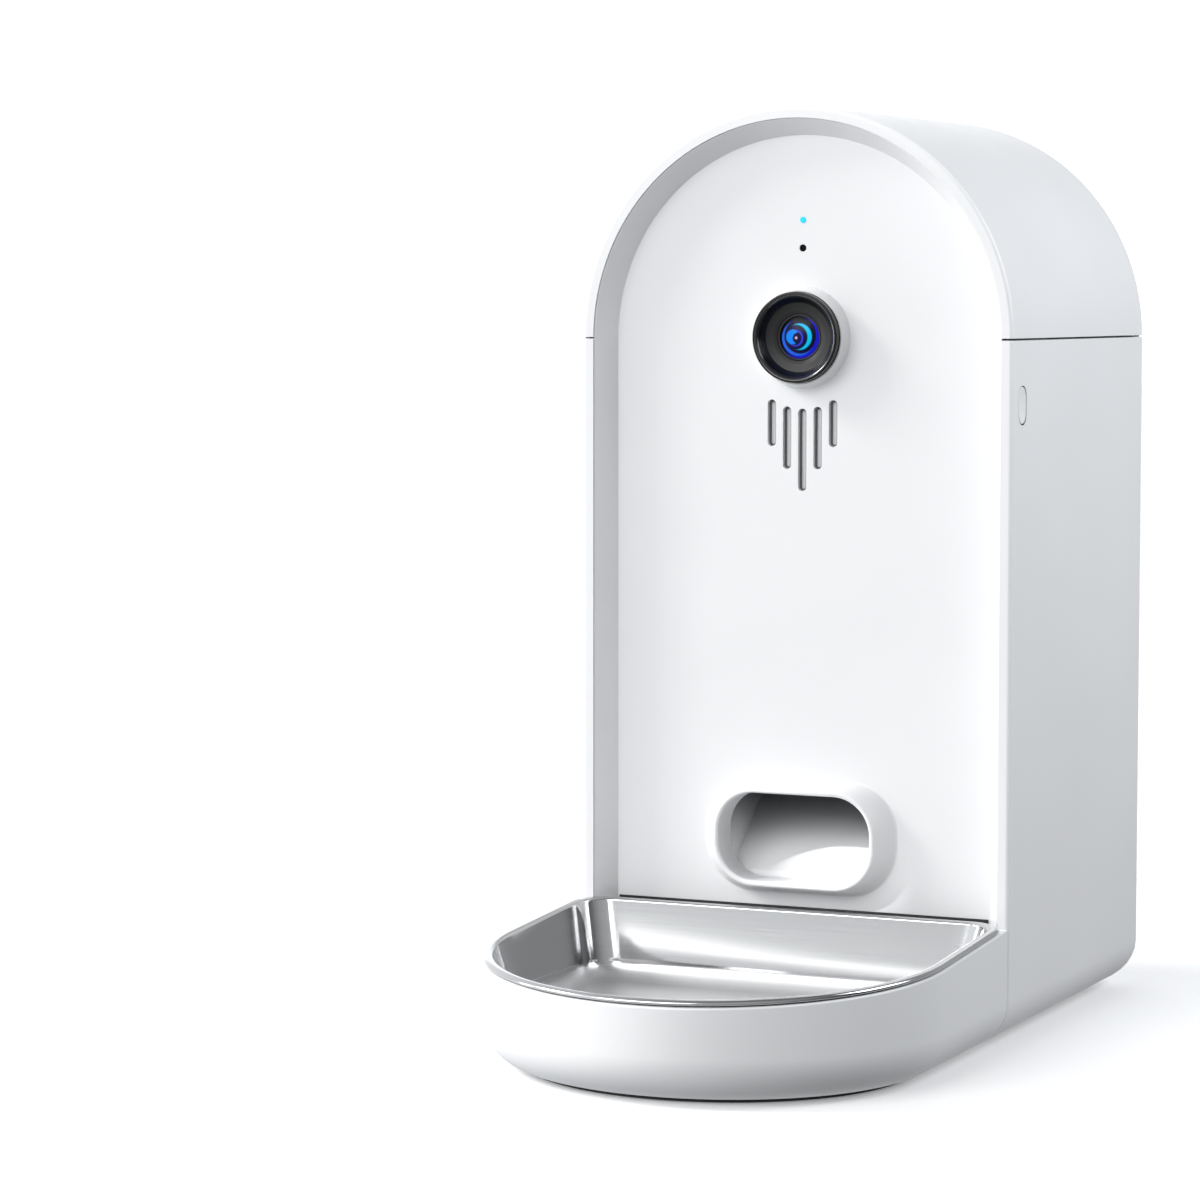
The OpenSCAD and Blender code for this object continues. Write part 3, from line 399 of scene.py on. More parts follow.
def skin(rings, closed=False):
    """A smooth skin over rings of millimetre points, with a surface map along and across the rings."""
    work = bmesh.new()
    rows = [[work.verts.new(spot(*p)) for p in ring] for ring in rings]
    grid = work.loops.layers.uv.new("run")
    count = len(rings[0])
    along = [0.0]
    for i in range(count):
        a, b = rows[len(rows) // 2][i], rows[len(rows) // 2][(i + 1) % count]
        along.append(along[-1] + (a.co - b.co).length)
    across = [0.0]
    for a, b in zip(rows, rows[1:] + rows[:1]):
        across.append(across[-1] + sum((p.co - q.co).length for p, q in zip(a, b)) / count)
    last = len(rows) if closed else len(rows) - 1
    for k in range(last):
        lower, upper = rows[k], rows[(k + 1) % len(rows)]
        for i in range(count):
            j = (i + 1) % count
            face = work.faces.new((lower[i], lower[j], upper[j], upper[i]))
            for loop, u, v in zip(face.loops, (i, i + 1, i + 1, i), (k, k, k + 1, k + 1)):
                loop[grid].uv = (along[u], across[v])
    if not closed:
        for ring in (list(reversed(rows[0])), rows[-1]):
            face = work.faces.new(ring)
            for loop in face.loops:
                loop[grid].uv = (loop.vert.co.x, loop.vert.co.y)
    bmesh.ops.recalc_face_normals(work, faces=work.faces)
    return work


def arc_angles(a0, a1, steps):
    """Even steps between two angles in degrees, as radians."""
    return [math.radians(a0 + (a1 - a0) * i / steps) for i in range(steps + 1)]


CORNER_STEPS, SIDE_STEPS, FRONT_STEPS, REAR_STEPS = 10, 14, 110, 32


def bowl_line(inset, rear, corner):
    """The tray's shape from above: rear corner, side, half an ellipse, side, rear corner and the rear."""
    w = HALF_W - inset
    end = TRAY_END - inset
    start = rear - corner

    def bend(middle, a0, a1):
        return [(middle + corner * math.cos(a), start + corner * math.sin(a))
                for a in arc_angles(a0, a1, CORNER_STEPS)]

    line = bend(w - corner, 90, 0)
    line += [(w, start + (-TRAY_SIDE - start) * i / SIDE_STEPS) for i in range(1, SIDE_STEPS + 1)]
    line += [(w * math.cos(a), -TRAY_SIDE - end * math.sin(a)) for a in arc_angles(0, 180, FRONT_STEPS)[1:-1]]
    line += [(-w, -TRAY_SIDE + (start + TRAY_SIDE) * i / SIDE_STEPS) for i in range(SIDE_STEPS)]
    line += bend(corner - w, 180, 90)
    line += [((corner - w) * (1 - 2 * i / REAR_STEPS), rear) for i in range(1, REAR_STEPS)]
    return line


def tray_top(y):
    """Height of the tray's sloping edge."""
    return TRAY_RIM + TRAY_RISE * y / (TRAY_SIDE + TRAY_END)


def level(line, z):
    """A line from above, all at one height."""
    return [(x, y, z) for x, y in line]


def sloped(line, up):
    """A line from above, at a height over the tray's sloping edge."""
    return [(x, y, tray_top(y) + up) for x, y in line]


def box_into(work, low, high, width):
    """A block with rounded edges, given by two corners."""
    made = bmesh.ops.create_cube(work, size=1.0)["verts"]
    a, b = spot(*low), spot(*high)
    for v in made:
        v.co = Vector((b[i] if v.co[i] > 0 else a[i] for i in range(3)))
    edges = list({e for v in made for e in v.link_edges})
    bmesh.ops.bevel(work, geom=edges, offset=width * MM, segments=2, profile=0.5, affect="EDGES")


def tray_mesh():
    """The tray: an outer skin with a round lower edge, a rounded top edge and the inner skin."""
    rear, wall, tip = -0.3, 3.0, 0.9
    low_half, low_top = 82.0, 45.0
    rings = [level(bowl_line(EDGE_R * (1 - math.sin(a)), rear, 1.0), FOOT_H + EDGE_R * (1 - math.cos(a)))
             for a in arc_angles(0, 90, 14)]

    def lip(inset, up):
        """The top edge, lower along the middle of the rear."""
        ring = []
        for x, y in bowl_line(inset, rear - inset, 1.0 + 0.3 * inset):
            top = tray_top(y)
            if y > rear - inset - 0.01 and abs(x) < low_half:
                top = min(top, low_top)
            ring.append((x, y, top + up))
        return ring

    rings += [lip(tip * (1 - math.cos(a)), tip * (math.sin(a) - 1)) for a in arc_angles(0, 90, 5)]
    rings += [lip(wall - tip * (1 - math.sin(a)), tip * (math.cos(a) - 1)) for a in arc_angles(0, 90, 5)]
    inner = EDGE_R - wall
    for a in arc_angles(90, 0, 10):
        line = bowl_line(wall + inner * (1 - math.sin(a)), rear - wall, 2.0)
        rings.append(level(line, FOOT_H + wall + inner * (1 - math.cos(a))))
    work = skin(rings)
    hook_x, hook_half = 50, 10
    for s in (-1, 1):
        box_into(work, (s * hook_x - hook_half, -1.3, 22), (s * hook_x + hook_half, 17.4, 32), 0.8)
    return mesh_of(work, "tray")


def bowl_mesh():
    """The bowl: pressed sheet with a draft, a round lower edge and a rolled rim."""
    side, draft, sheet, floor_z, bend, corner = 3.5, 5.0, 0.9, 19.0, 10.0, 13.0
    roll_mid, roll_half, roll_up, roll_down, roll_back = 2.3, 2.1, 1.35, 1.05, 0.7
    rings = []
    for a in arc_angles(0, 90, 12):
        inset = side + draft + sheet + (bend - sheet) * (1 - math.sin(a))
        rings.append(level(bowl_line(inset, -inset, corner), floor_z + (bend - sheet) * (1 - math.cos(a))))
    foot = rings[-1]
    head = sloped(bowl_line(side + sheet, -side - sheet, corner), 1.2)
    for k in (0.25, 0.5, 0.75):
        rings.append([tuple(p + (q - p) * k for p, q in zip(lo, hi)) for lo, hi in zip(foot, head)])
    for a in arc_angles(0, 270, 26):
        inset = roll_mid + roll_half * math.cos(a)
        up = roll_up + (roll_up if math.sin(a) > 0 else roll_down) * math.sin(a)
        rear = -inset - roll_back * (roll_mid + roll_half - inset) / (2 * roll_half)
        rings.append(sloped(bowl_line(inset, rear, corner), up))
    rings.append(sloped(bowl_line(side, -side, corner), 0.25))
    for a in arc_angles(90, 0, 10):
        inset = side + draft + bend * (1 - math.sin(a))
        rings.append(level(bowl_line(inset, -inset, corner), floor_z - sheet + bend * (1 - math.cos(a))))
    return mesh_of(skin(rings), "bowl")


def oblong(w, h, r, y, z, steps=14):
    """A ring with rounded ends in an upright plane."""
    ring = []
    for cx, cz, a0 in ((1, 1, 0), (-1, 1, 90), (-1, -1, 180), (1, -1, 270)):
        for a in arc_angles(a0, a0 + 90, steps):
            ring.append((cx * (w / 2 - r) + r * math.cos(a), y, z + cz * (h / 2 - r) + r * math.sin(a)))
    return ring


def collar_mesh():
    """The outlet's collar: a tube through the panel, a rounded lip and a skirt that widens to the panel."""
    front, back, lip, skirt = RECESS - 9.5, 16.0, 1.3, (8.5, 4.95, 10.45)
    way = [(0.0, 0.0, back), (0.0, 0.0, 9.0)]
    way += [(lip * (1 - math.cos(a)),) * 2 + (front + lip * (1 - math.sin(a)),) for a in arc_angles(0, 90, 6)]
    way += [(lip + lip * math.sin(a),) * 2 + (front + lip * (1 - math.cos(a)),)
            for a in arc_angles(0, 66, 5)[1:]]
    near = way[-1]
    for k in (0.25, 0.5, 0.75, 1.0):
        way.append(tuple(p + (q - p) * k for p, q in zip(near, skirt)))
    way += [(9.0, 5.3, 10.8), (9.5, 5.8, RECESS), (2.0, 2.0, RECESS), (2.0, 2.0, back)]
    rings = [oblong(OUTLET_W + 2 * gx, OUTLET_H + 2 * gz, OUTLET_R + gz, y, OUTLET_Z) for gx, gz, y in way]
    return mesh_of(skin(rings, closed=True), "collar")


def lathe_mesh(name, profile, z, closed=False, count=128):
    """A turned piece about an axis that runs to the back; the profile is radius and depth."""
    around = arc_angles(0, 360, count)[:-1]
    rings = [[(r * math.cos(a), y, z + r * math.sin(a)) for a in around] for r, y in profile]
    return mesh_of(skin(rings, closed), name)


add_piece("tray_shell", softened(tray_mesh()), satin_white, "bowl_tray")
add_piece("steel_bowl", softened(bowl_mesh()), brushed_steel, "food_bowl")
add_piece("outlet_skirt", softened(collar_mesh()), satin_white, "outlet_collar")

# Camera: dark glass with painted blue reflections and a painted glint, in a turned black ring.


class LensFinish(Finish):
    """A finish laid out in millimetres from the lens's middle: rings, crescents and discs."""

    def __init__(self, name, colour, rough):
        super().__init__(name, colour, rough)
        split = self.node("ShaderNodeSeparateXYZ")
        self.link(self.where, "Object", split, "Vector")
        self.x = self.sum("MULTIPLY", split.outputs["X"], 1000.0)
        self.z = self.sum("SUBTRACT", self.sum("MULTIPLY", split.outputs["Z"], 1000.0), CAMERA_Z)
        self.ground, self.paint = colour, None

    def sum(self, kind, a, b):
        made = self.tree.nodes.new("ShaderNodeMath")
        made.operation = kind
        for socket, value in zip(made.inputs, (a, b)):
            if isinstance(value, float):
                socket.default_value = value
            else:
                self.tree.links.new(value, socket)
        return made.outputs[0]

    def ramp(self, value, start, end):
        span = self.tree.nodes.new("ShaderNodeMapRange")
        span.interpolation_type = "SMOOTHSTEP"
        span.inputs["From Min"].default_value = start
        span.inputs["From Max"].default_value = end
        self.tree.links.new(value, span.inputs["Value"])
        return span.outputs["Result"]

    def away(self, cx, cz):
        dx, dz = self.sum("SUBTRACT", self.x, cx), self.sum("SUBTRACT", self.z, cz)
        square = self.sum("ADD", self.sum("MULTIPLY", dx, dx), self.sum("MULTIPLY", dz, dz))
        return self.sum("SQRT", square, 0.0)

    def disc(self, cx, cz, r, soft=0.3):
        return self.ramp(self.away(cx, cz), r + soft, r - soft)

    def crescent(self, outer, inner, soft=0.3):
        whole = self.disc(*outer, soft)
        return self.sum("MULTIPLY", whole, self.sum("SUBTRACT", 1.0, self.disc(*inner, soft)))

    # Paints a colour over the finish inside a mask; the lens's painted reflections and glint come from it.
    def paint_over(self, mask, colour):
        blend = self.tree.nodes.new("ShaderNodeMix")
        blend.data_type = "RGBA"
        self.tree.links.new(mask, blend.inputs["Factor"])
        if self.paint is None:
            blend.inputs[6].default_value = (*self.ground, 1.0)
        else:
            self.tree.links.new(self.paint, blend.inputs[6])
        blend.inputs[7].default_value = (*colour, 1.0)
        self.paint = blend.outputs[2]
        self.tree.links.new(self.paint, self.shader.inputs["Base Color"])

    def by_radius(self, socket, steps, reach=20.0):
        """A shader input that goes through the given radius and value steps."""
        scaled = self.sum("DIVIDE", self.away(0.0, 0.0), reach)
        line = self.tree.nodes.new("ShaderNodeValToRGB")
        marks = line.color_ramp.elements
        while len(marks) < len(steps):
            marks.new(0.5)
        for mark, (r, value) in zip(marks, steps):
            mark.position = r / reach
            mark.color = (value, value, value * 1.02, 1.0)
        self.tree.links.new(scaled, line.inputs["Fac"])
        self.tree.links.new(line.outputs["Color"], self.shader.inputs[socket])

    def turned(self, pitch, depth, strength):
        """Fine turning marks round the lens."""
        wave = self.sum("SINE", self.sum("MULTIPLY", self.away(0.0, 0.0), 2.0 * math.pi / pitch), 0.0)
        relief = self.node("ShaderNodeBump", Strength=strength, Distance=depth)
        self.tree.links.new(wave, relief.inputs["Height"])
        self.link(relief, "Normal", self.shader, "Normal")


lens_painted_reflections = LensFinish("lens_painted_reflections", (0.001, 0.001, 0.004), 0.3)
lens_painted_reflections.set("Coat Weight", 0.06).set("Coat Roughness", 0.05).set("Specular IOR Level", 0.12)
# Over a faint dark blue tint, the crescents are painted reflections of the lens's coating and the small pale
# disc is a painted glint.
lens_painted_reflections.paint_over(lens_painted_reflections.disc(-0.2, 0.0, 6.6, 0.8), (0.003, 0.003, 0.05))
lens_painted_reflections.paint_over(lens_painted_reflections.crescent((0.0, 0.0, 8.6), (-1.0, 0.7, 8.3)), (0.01, 0.012, 0.75))
lens_painted_reflections.paint_over(lens_painted_reflections.crescent((-0.4, -0.3, 7.3), (0.5, 0.45, 7.1)), (0.02, 0.14, 0.9))
lens_painted_reflections.paint_over(lens_painted_reflections.crescent((0.3, 0.3, 5.4), (-1.1, 0.1, 5.1)), (0.0, 0.62, 1.0))
lens_painted_reflections.paint_over(lens_painted_reflections.crescent((-1.2, -0.3, 3.4), (-1.5, -0.3, 2.9)), (0.04, 0.05, 0.7))
lens_painted_reflections.paint_over(lens_painted_reflections.crescent((-2.6, 0.2, 3.0), (-0.2, -0.3, 2.3)), (0.0, 0.25, 1.0))
lens_painted_reflections.paint_over(lens_painted_reflections.disc(-0.9, -0.2, 0.5, 0.35), (0.85, 0.55, 0.75))
lens_painted_reflections.grain(900.0, 0.000002, 0.02)

turned_black = LensFinish("turned_black", (0.02, 0.02, 0.02), 0.3)
turned_black.set("Specular IOR Level", 0.35)
turned_black.by_radius("Base Color", (
    (9.5, 0.004), (10.6, 0.030), (11.5, 0.040), (11.9, 0.016), (14.3, 0.012),
    (15.4, 0.006), (16.3, 0.006), (16.6, 0.12), (17.5, 0.12), (17.8, 0.004)))
turned_black.by_radius("Metallic", (
    (10.2, 0.0), (10.8, 0.5), (11.5, 0.5), (11.9, 0.0), (16.3, 0.0), (16.6, 1.0), (17.5, 1.0), (17.8, 0.0)))
turned_black.by_radius("Roughness", ((11.0, 0.42), (11.9, 0.44), (14.3, 0.40), (15.4, 0.24), (17.9, 0.20)))
turned_black.turned(0.24, 0.00001, 0.10)

lens_steps, lens_hub = 20, 0.2
glass = [(LENS_R * k / lens_steps, LENS_EDGE - LENS_CROWN * (1 - (k / lens_steps) ** 2))
         for k in range(1, lens_steps + 1)]
glass += [(LENS_R, LENS_EDGE + LENS_SKIRT), (lens_hub, LENS_EDGE + LENS_SKIRT)]
add_piece("front_lens", softened(lathe_mesh("front_lens", glass, CAMERA_Z)), lens_painted_reflections, "lens_glass")

RING_BACK = 22.0
bezel = [(9.6, RING_BACK), (9.6, 7.45), (9.8, 7.25), (11.4, 6.62), (11.7, 6.52), (14.2, 5.90), (14.4, 5.75),
         (16.3, 2.85), (16.6, 2.42), (16.9, 2.06), (17.2, 1.80), (17.5, 1.62), (17.8, 1.52), (18.25, 1.5),
         (18.55, 1.68), (18.7, 2.0), (18.7, RECESS), (12.5, RECESS), (12.5, RING_BACK)]
bezel_mesh = softened(lathe_mesh("camera_ring", bezel, CAMERA_Z, closed=True))
add_piece("camera_ring", bezel_mesh, turned_black, "camera_bezel")

# Screws: one tree makes every set from its own spots.

SCREW_HEAD = 0.0014


def screw_tree():
    """Cross-recess screws on points, heads outwards."""
    tree = bpy.data.node_groups.new("screw_set", "GeometryNodeTree")
    face = tree.interface
    face.new_socket("Geometry", in_out="INPUT", socket_type="NodeSocketGeometry")
    for name, value in (("Head Radius", 0.0028), ("Head Height", SCREW_HEAD), ("Shank Radius", 0.0013),
                        ("Shank Length", 0.01), ("Recess Length", 0.0034), ("Recess Width", 0.0007)):
        face.new_socket(name, in_out="INPUT", socket_type="NodeSocketFloat").default_value = value
    face.new_socket("Turn", in_out="INPUT", socket_type="NodeSocketRotation")
    face.new_socket("Steel", in_out="INPUT", socket_type="NodeSocketMaterial")
    face.new_socket("Geometry", in_out="OUTPUT", socket_type="NodeSocketGeometry")
    add, link = tree.nodes.new, tree.links.new
    given, result = add("NodeGroupInput"), add("NodeGroupOutput")

    def stretched(x, y, z):
        size = add("ShaderNodeCombineXYZ")
        for socket, value in zip(size.inputs, (x, y, z)):
            if isinstance(value, str):
                link(given.outputs[value], socket)
            else:
                socket.default_value = value
        return size.outputs[0]

    head = add("GeometryNodeMeshCone")
    head.inputs["Vertices"].default_value = 32
    link(given.outputs["Head Radius"], head.inputs["Radius Top"])
    link(given.outputs["Head Radius"], head.inputs["Radius Bottom"])
    link(given.outputs["Head Height"], head.inputs["Depth"])
    cut = add("GeometryNodeMeshBoolean")
    cut.operation = "DIFFERENCE"
    link(head.outputs["Mesh"], cut.inputs["Mesh 1"])
    for x, y, drop in (("Recess Length", "Recess Width", 0.00010),
                       ("Recess Width", "Recess Length", 0.00014)):
        bar = add("GeometryNodeMeshCube")
        link(stretched(x, y, "Head Height"), bar.inputs["Size"])
        sunk = add("GeometryNodeTransform")
        link(bar.outputs["Mesh"], sunk.inputs["Geometry"])
        link(stretched(0.0, 0.0, "Head Height"), sunk.inputs["Translation"])
        half = add("GeometryNodeTransform")
        half.inputs["Translation"].default_value = (0.0, 0.0, -drop)
        link(sunk.outputs["Geometry"], half.inputs["Geometry"])
        link(half.outputs["Geometry"], cut.inputs["Mesh 2"])
    shank = add("GeometryNodeMeshCylinder")
    shank.inputs["Vertices"].default_value = 20
    link(given.outputs["Shank Radius"], shank.inputs["Radius"])
    link(given.outputs["Shank Length"], shank.inputs["Depth"])
    reach = add("ShaderNodeMath")
    reach.operation = "MULTIPLY"
    reach.inputs[1].default_value = -0.5
    link(given.outputs["Shank Length"], reach.inputs[0])
    down = add("ShaderNodeCombineXYZ")
    link(reach.outputs[0], down.inputs["Z"])
    below = add("GeometryNodeTransform")
    link(shank.outputs["Mesh"], below.inputs["Geometry"])
    link(down.outputs[0], below.inputs["Translation"])
    whole = add("GeometryNodeJoinGeometry")
    link(cut.outputs["Mesh"], whole.inputs["Geometry"])
    link(below.outputs["Geometry"], whole.inputs["Geometry"])
    spread = add("GeometryNodeInstanceOnPoints")
    link(given.outputs["Geometry"], spread.inputs["Points"])
    link(whole.outputs["Geometry"], spread.inputs["Instance"])
    link(given.outputs["Turn"], spread.inputs["Rotation"])
    solid = add("GeometryNodeRealizeInstances")
    link(spread.outputs["Instances"], solid.inputs["Geometry"])
    clad = add("GeometryNodeSetMaterial")
    link(solid.outputs["Geometry"], clad.inputs["Geometry"])
    link(given.outputs["Steel"], clad.inputs["Material"])
    link(clad.outputs["Geometry"], result.inputs["Geometry"])
    return tree


SCREWS = screw_tree()


def islands(node):
    """Low and high corners of each separate solid of a CAD node."""
    work = node_copy(node)
    left, found = set(work.verts), []
    while left:
        todo, group = [left.pop()], []
        while todo:
            v = todo.pop()
            group.append(v.co.copy())
            for e in v.link_edges:
                other = e.other_vert(v)
                if other in left:
                    left.discard(other)
                    todo.append(other)
        found.append([Vector((pick(c[i] for c in group) for i in range(3))) for pick in (min, max)])
    work.free()
    return found


def screw_set(node, upward):
    """Replaces a node of screws; heads face down when they are driven upward, else to the back."""
    at = bmesh.new()
    for low, high in islands(node):
        mid = (low + high) / 2
        length = (high.z - low.z) if upward else (high.y - low.y)
        half = SCREW_HEAD / 2
        at.verts.new((mid.x, mid.y, low.z + half) if upward else (mid.x, high.y - half, mid.z))
    obj = bpy.data.objects.new(node + "_look", mesh_of(at, node))
    scene.collection.objects.link(obj)
    drive = obj.modifiers.new("screws", "NODES")
    drive.node_group = SCREWS
    ids = {i.name: i.identifier for i in SCREWS.interface.items_tree if i.in_out == "INPUT"}
    drive[ids["Shank Length"]] = length - SCREW_HEAD
    drive[ids["Turn"]] = (math.pi, 0.0, 0.0) if upward else (-math.pi / 2, 0.0, 0.0)
    drive[ids["Steel"]] = turned_steel.mat
    now = bpy.context.evaluated_depsgraph_get()
    mesh = bpy.data.meshes.new_from_object(obj.evaluated_get(now), depsgraph=now)
    bpy.data.objects.remove(obj)
    add_piece(node + "_look", softened(mesh), turned_steel, node)


for node in ("base_screws", "cup_screws", "gearbox_screws"):
    screw_set(node, True)
for node in ("panel_screws", "cover_screws", "board_screws"):
    screw_set(node, False)

# Mouldings, thin trim and the rest of the nodes.

for name in ("main_shell", "lid_shell"):
    moulding(name, 0.5, 3, broad=front_edge, keep=off_buttons)
moulding("front_panel", 0.2, 2, keep=panel_front)
moulding("food_chute", 0.3, 2, chute_painted_shade)
moulding("lid_liner", 0.6, keep=liner_front)
moulding("rotor", 0.0)
moulding("lens_barrel", 0.2, 2, camera_black)
button("left_button", -1)
button("right_button", 1)
button_spring("left")
button_spring("right")
for name, width in (("base_plate", 0.0), ("body_feet", 0.4), ("tray_feet", 0.4), ("bay_cover", 0.5),
                    ("desiccant_box", 0.6), ("drop_shield", 0.3), ("lid_seal", 0.6), ("stirrer", 0.4),
                    ("power_inlet", 0.3), ("hinge_pin", 0.2), ("gearbox_case", 0.4), ("motor", 0.4),
                    ("drive_shaft", 0.2), ("hopper", 0.4), ("dosing_cup", 0.3), ("status_light", 0.15)):
    moulding(name, width)


STRIP_EDGE = 0.15


def add_trim(name, works, finish, body):
    """One piece of thin trim made of several closed shapes, on a body that carries it."""
    whole = bmesh.new()
    for work in works:
        whole.from_mesh(mesh_of(work, name))
    mesh = softened(mesh_of(whole, name))
    mesh.materials.clear()
    mesh.materials.append(finish.mat)
    obj = bpy.data.objects.new(name, mesh)
    scene.collection.objects.link(obj)
    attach(obj, body)


def thin_trim(name, blocks, finish, body):
    """Thin strips, each given by two corners."""
    work = bmesh.new()
    for low, high in blocks:
        box_into(work, low, high, STRIP_EDGE)
    add_trim(name, [work], finish, body)


# Dark strips behind the seam and in it, on both sides: middle, half width, span to the back, span upward.
SEAM_STRIPS = ((91.0, 0.4, (28.0, 172.6), (286.9, 289.7)), (93.2, 1.0, (0.9, 174.6), (287.72, 288.28)))
thin_trim("seam_strips", [((s * x - half, y[0], z[0]), (s * x + half, y[1], z[1]))
                          for x, half, y, z in SEAM_STRIPS for s in (-1, 1)],
          foot_black, "base")

# A dark strip on the panel behind the bowl's rear edge: painted shade that stands in for the shadow gap there.
STRIP_HALF = 82.6
thin_trim("bowl_shadow_strip", [((-STRIP_HALF, RECESS - 0.8, 48.6), (STRIP_HALF, RECESS + 0.1, 51.5))],
          foot_black, "base")


def bead_mesh():
    """A thin bead up one side of the panel's border, over its arch and down the other side."""
    inner, outer, front, back, start, middle = 89.62, 89.94, 0.72, 1.9, 52.0, 170.0
    way = [(-1.0, 0.0, z) for z in (start, middle, SEAM_Z)]
    way += [(math.cos(a), math.sin(a), SEAM_Z) for a in arc_angles(180, 0, 96)[1:]]
    way += [(1.0, 0.0, z) for z in (middle, start)]
    section = ((inner, front), (outer, front), (outer, back), (inner, back))
    return skin([[(u * r, y, z + v * r) for r, y in section] for u, v, z in way])


add_trim("panel_bead", [bead_mesh()], satin_white, "base")


def box_line(x, y0, y1, r):
    """A rounded rectangle seen from above."""
    line = []
    for cx, cy, a0 in ((x - r, y1 - r, 0), (r - x, y1 - r, 90), (r - x, y0 + r, 180), (x - r, y0 + r, 270)):
        line += [(cx + r * math.cos(a), cy + r * math.sin(a)) for a in arc_angles(a0, a0 + 90, 8)]
    return line


def contact_shadow_ring(name, outer, inner, body):
    """A flat dark ring under an edge, just clear of the floor, which the feet stand on: painted shade that
    stands in for the contact shadow there.
    """
    low, top = 0.12, FOOT_H
    rings = [level(outer, low), level(outer, top), level(inner, top), level(inner, low)]
    add_trim(name, [skin(rings, closed=True)], foot_black, body)


def button_gap_shade(side):
    """A dark ring in the gap round a release button, below the shell's face: painted shade that stands in for
    the shade in the gap.
    """
    clear, back, front = 0.03, 93.3, 94.95
    wide = BUTTON_GAP - clear
    rings = []
    for grow, x in ((clear, back), (clear, front), (wide, front), (wide, back)):
        ring = oblong(BUTTON_W + 2 * grow, BUTTON_H + 2 * grow, BUTTON_R + grow, 0.0, 0.0, 8)
        rings.append([(side * x, BUTTON_Y + u, SEAM_Z - BUTTON_DOWN + v) for u, _, v in ring])
    return skin(rings, closed=True)


add_trim("button_gap_shades", [button_gap_shade(s) for s in (-1, 1)], foot_black, "base")
contact_shadow_ring("tray_contact_shadow", bowl_line(17.6, -7.0, 6.0), bowl_line(20.6, -10.0, 3.0), "tray")
contact_shadow_ring("body_contact_shadow", box_line(77.2, 4.0, 158.2, 7.0), box_line(74.2, 7.0, 155.2, 4.0), "base")

# The speaker slots: place across, and both ends below the seam.
SLOT_ENDS = ((-2, 25.3, 44.6), (-1, 28.1, 53.9), (0, 28.9, 63.0), (1, 28.1, 53.9), (2, 25.3, 44.6))


def slot_shadow_ring(place, top, bottom):
    """A thin dark ring just inside a speaker slot, against the screen behind it: painted shade that stands in
    for the shadow along the slot's edge.
    """
    outer, inner, front = 0.25, 0.85, PANEL_BACK - 0.5
    middle = SEAM_Z - (top + bottom) / 2
    rings = []
    for inset, y in ((outer, PANEL_BACK), (outer, front), (inner, front), (inner, PANEL_BACK)):
        ring = oblong(SLOT_W - 2 * inset, bottom - top - 2 * inset, SLOT_W / 2 - inset - 0.05, y, middle, 6)
        rings.append([(x + place * SLOT_PITCH, y, z) for x, y, z in ring])
    return skin(rings, closed=True)


add_trim("slot_shadow_rings", [slot_shadow_ring(*row) for row in SLOT_ENDS], slot_shadow_grey, "base")

OWN_FINISH = {"dust_screen": screen_grey, "microphone": boot_black}
for name, obj in nodes.items():
    if not obj.hide_render:
        finish = OWN_FINISH.get(name, SLOT_FINISH[node_slot[name]])
        obj.data.materials.clear()
        obj.data.materials.append(finish.mat)

# Camera, floor and light.

AZIMUTH, PITCH = math.radians(24.704), math.radians(4.379)
EYE_AT, FOCAL, PICTURE, SENSOR = (604.929, -1503.963, 304.561), 3940.29, 1200.0, 36.0
FLOOR_HALF = 12.0
back = Vector((math.sin(AZIMUTH) * math.cos(PITCH), -math.cos(AZIMUTH) * math.cos(PITCH), math.sin(PITCH)))
eye = bpy.data.objects.new("eye", bpy.data.cameras.new("eye"))
scene.collection.objects.link(eye)
eye.location = spot(*EYE_AT)
eye.rotation_mode = "QUATERNION"
eye.rotation_quaternion = (-back).to_track_quat("-Z", "Y")
eye.data.sensor_width = SENSOR
eye.data.lens = FOCAL * SENSOR / PICTURE
eye.data.clip_start, eye.data.clip_end = 0.05, 60.0
scene.camera = eye

work = bmesh.new()
bmesh.ops.create_grid(work, x_segments=1, y_segments=1, size=FLOOR_HALF)
floor = bpy.data.objects.new("pale_floor", mesh_of(work, "pale_floor"))
scene.collection.objects.link(floor)
floor_white = Finish("floor_white", (0.97, 0.97, 0.972), 0.7)
floor_white.mottle((0.965, 0.965, 0.967), (0.975, 0.975, 0.977), 3.0)
floor_white.set("Emission Color", (1.0, 1.0, 1.0, 1.0))

# The floor's faint glow grows with distance, so that the shadow shows and the far floor stays white.
reach = floor_white.node("ShaderNodeVectorMath", operation="LENGTH")
floor_white.link(floor_white.where, "Object", reach, "Vector")
lift = floor_white.node("ShaderNodeMapRange", interpolation_type="SMOOTHSTEP")
for socket, value in (("From Min", 0.35), ("From Max", 1.4), ("To Min", 0.11), ("To Max", 0.26)):
    lift.inputs[socket].default_value = value
floor_white.link(reach, "Value", lift, "Value")
floor_white.link(lift, "Result", floor_white.shader, "Emission Strength")
floor.data.materials.append(floor_white.mat)
floor.visible_diffuse = False
floor.visible_glossy = False


def lamp_at(name, lamp, at, aim):
    """Places a lamp and turns it to its aim; it lights the scene and stays out of the picture."""
    obj = bpy.data.objects.new(name, lamp)
    scene.collection.objects.link(obj)
    obj.visible_camera = False
    obj.location = at
    obj.rotation_mode = "QUATERNION"
    obj.rotation_quaternion = (Vector(aim) - Vector(at)).to_track_quat("-Z", "Y")


def soft_box(name, at, aim, size, power, colour=(1.0, 1.0, 1.0)):
    """An even rectangular lamp."""
    lamp = bpy.data.lights.new(name, "AREA")
    lamp.color = colour
    lamp.shape = "RECTANGLE"
    lamp.size, lamp.size_y = size
    lamp.energy = power
    lamp_at(name, lamp, at, aim)


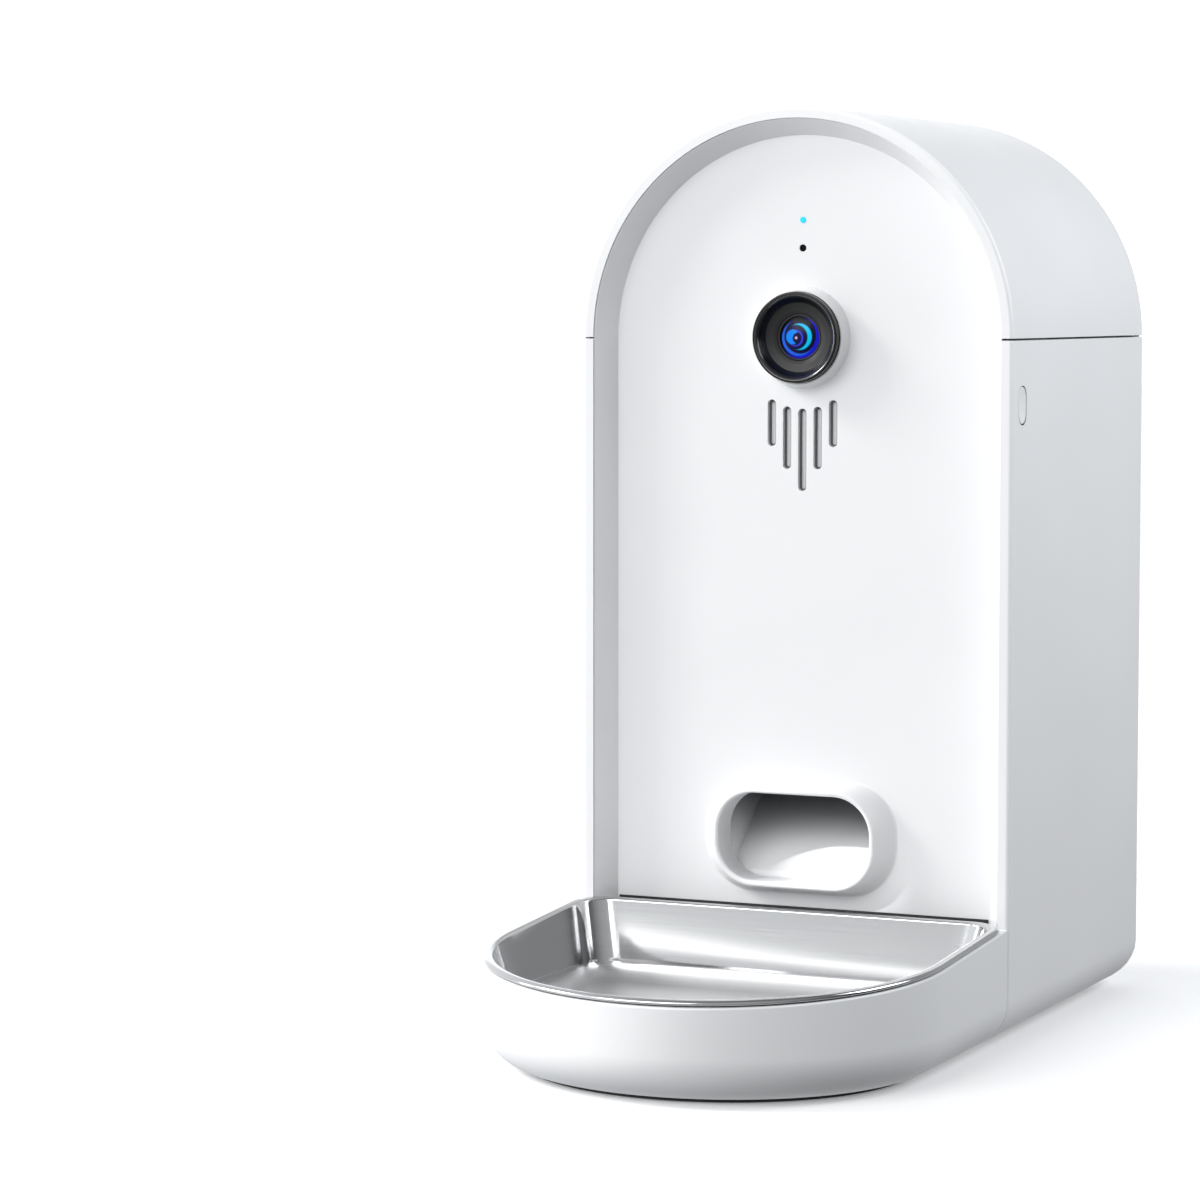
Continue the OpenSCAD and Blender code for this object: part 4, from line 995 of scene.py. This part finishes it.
key = bpy.data.lights.new("key_left", "SUN")
key.energy, key.angle = 1.7, math.radians(16.0)
key.color = (1.0, 0.99, 0.97)
lamp_at("key_left", key, (-1.60, -0.52, 1.06), (0.0, 0.0, 0.0))
soft_box("fill_right", (0.76, 0.12, 0.62), (0.05, 0.0, 0.25), (0.5, 0.5), 5.1, (0.955, 0.976, 1.0))
soft_box("front_box", (-0.58, -1.78, 1.12), (0.0, -0.1, 0.1), (1.5, 0.9), 20.5)
soft_box("left_strip", (-1.20, -0.30, 0.24), (0.0, 0.0, 0.288), (0.10, 0.50), 1.6)
soft_box("bowl_box", (-0.076, -0.1968, 0.077), (0.0, -0.014, 0.033), (0.19, 0.008), 0.0075)

# A narrow lamp that lights the outlet's floor through its mouth.
outlet_lamp = bpy.data.lights.new("outlet_lamp", "SPOT")
outlet_lamp.energy, outlet_lamp.shadow_soft_size = 45.0, 0.008
outlet_lamp.spot_size, outlet_lamp.spot_blend = math.radians(2.16), 0.15
lamp_at("outlet_lamp", outlet_lamp, spot(-730.0, -600.0, 660.0), spot(-3.0, 1.5, 82.0))

# Soft room light by direction: where each part comes from, where it starts and is full, and its strength.
ROOM_LOBES = (
    ("left", (-1.0, 0.0, 0.0), 0.0, 1.0, 0.93),
    ("front", (0.0, -1.0, 0.0), 0.0, 1.0, 0.27),
    ("front_top", (0.0, -0.7, 0.7), 0.0, 1.0, 0.28),
    ("below", (0.0, 0.0, -1.0), 0.0, 1.0, 0.17),
    ("back", (0.0, 1.0, 0.0), 0.0, 1.0, 0.50),
    ("backdrop", (-0.42, 0.90, 0.05), 0.90, 0.97, 0.7),
)
world = bpy.data.worlds.new("studio")
scene.world = world
world.use_nodes = True
sky = world.node_tree
glow = sky.nodes["Background"]
glow.inputs["Color"].default_value = (0.955, 0.976, 1.0, 1.0)
towards = sky.nodes.new("ShaderNodeTexCoord")
total = None
for name, aim, start, full, gain in ROOM_LOBES:
    facing = sky.nodes.new("ShaderNodeVectorMath")
    facing.operation = "DOT_PRODUCT"
    facing.inputs[1].default_value = Vector(aim).normalized()
    sky.links.new(towards.outputs["Generated"], facing.inputs[0])
    lobe = sky.nodes.new("ShaderNodeMapRange")
    lobe.label = name
    lobe.interpolation_type = "SMOOTHSTEP"
    lobe.inputs["From Min"].default_value = start
    lobe.inputs["From Max"].default_value = full
    lobe.inputs["To Max"].default_value = gain
    sky.links.new(facing.outputs["Value"], lobe.inputs["Value"])
    if total is None:
        total = lobe.outputs["Result"]
        continue
    more = sky.nodes.new("ShaderNodeMath")
    more.operation = "ADD"
    sky.links.new(lobe.outputs["Result"], more.inputs[0])
    sky.links.new(total, more.inputs[1])
    total = more.outputs[0]
sky.links.new(total, glow.inputs["Strength"])
scene.view_settings.view_transform = "Standard"
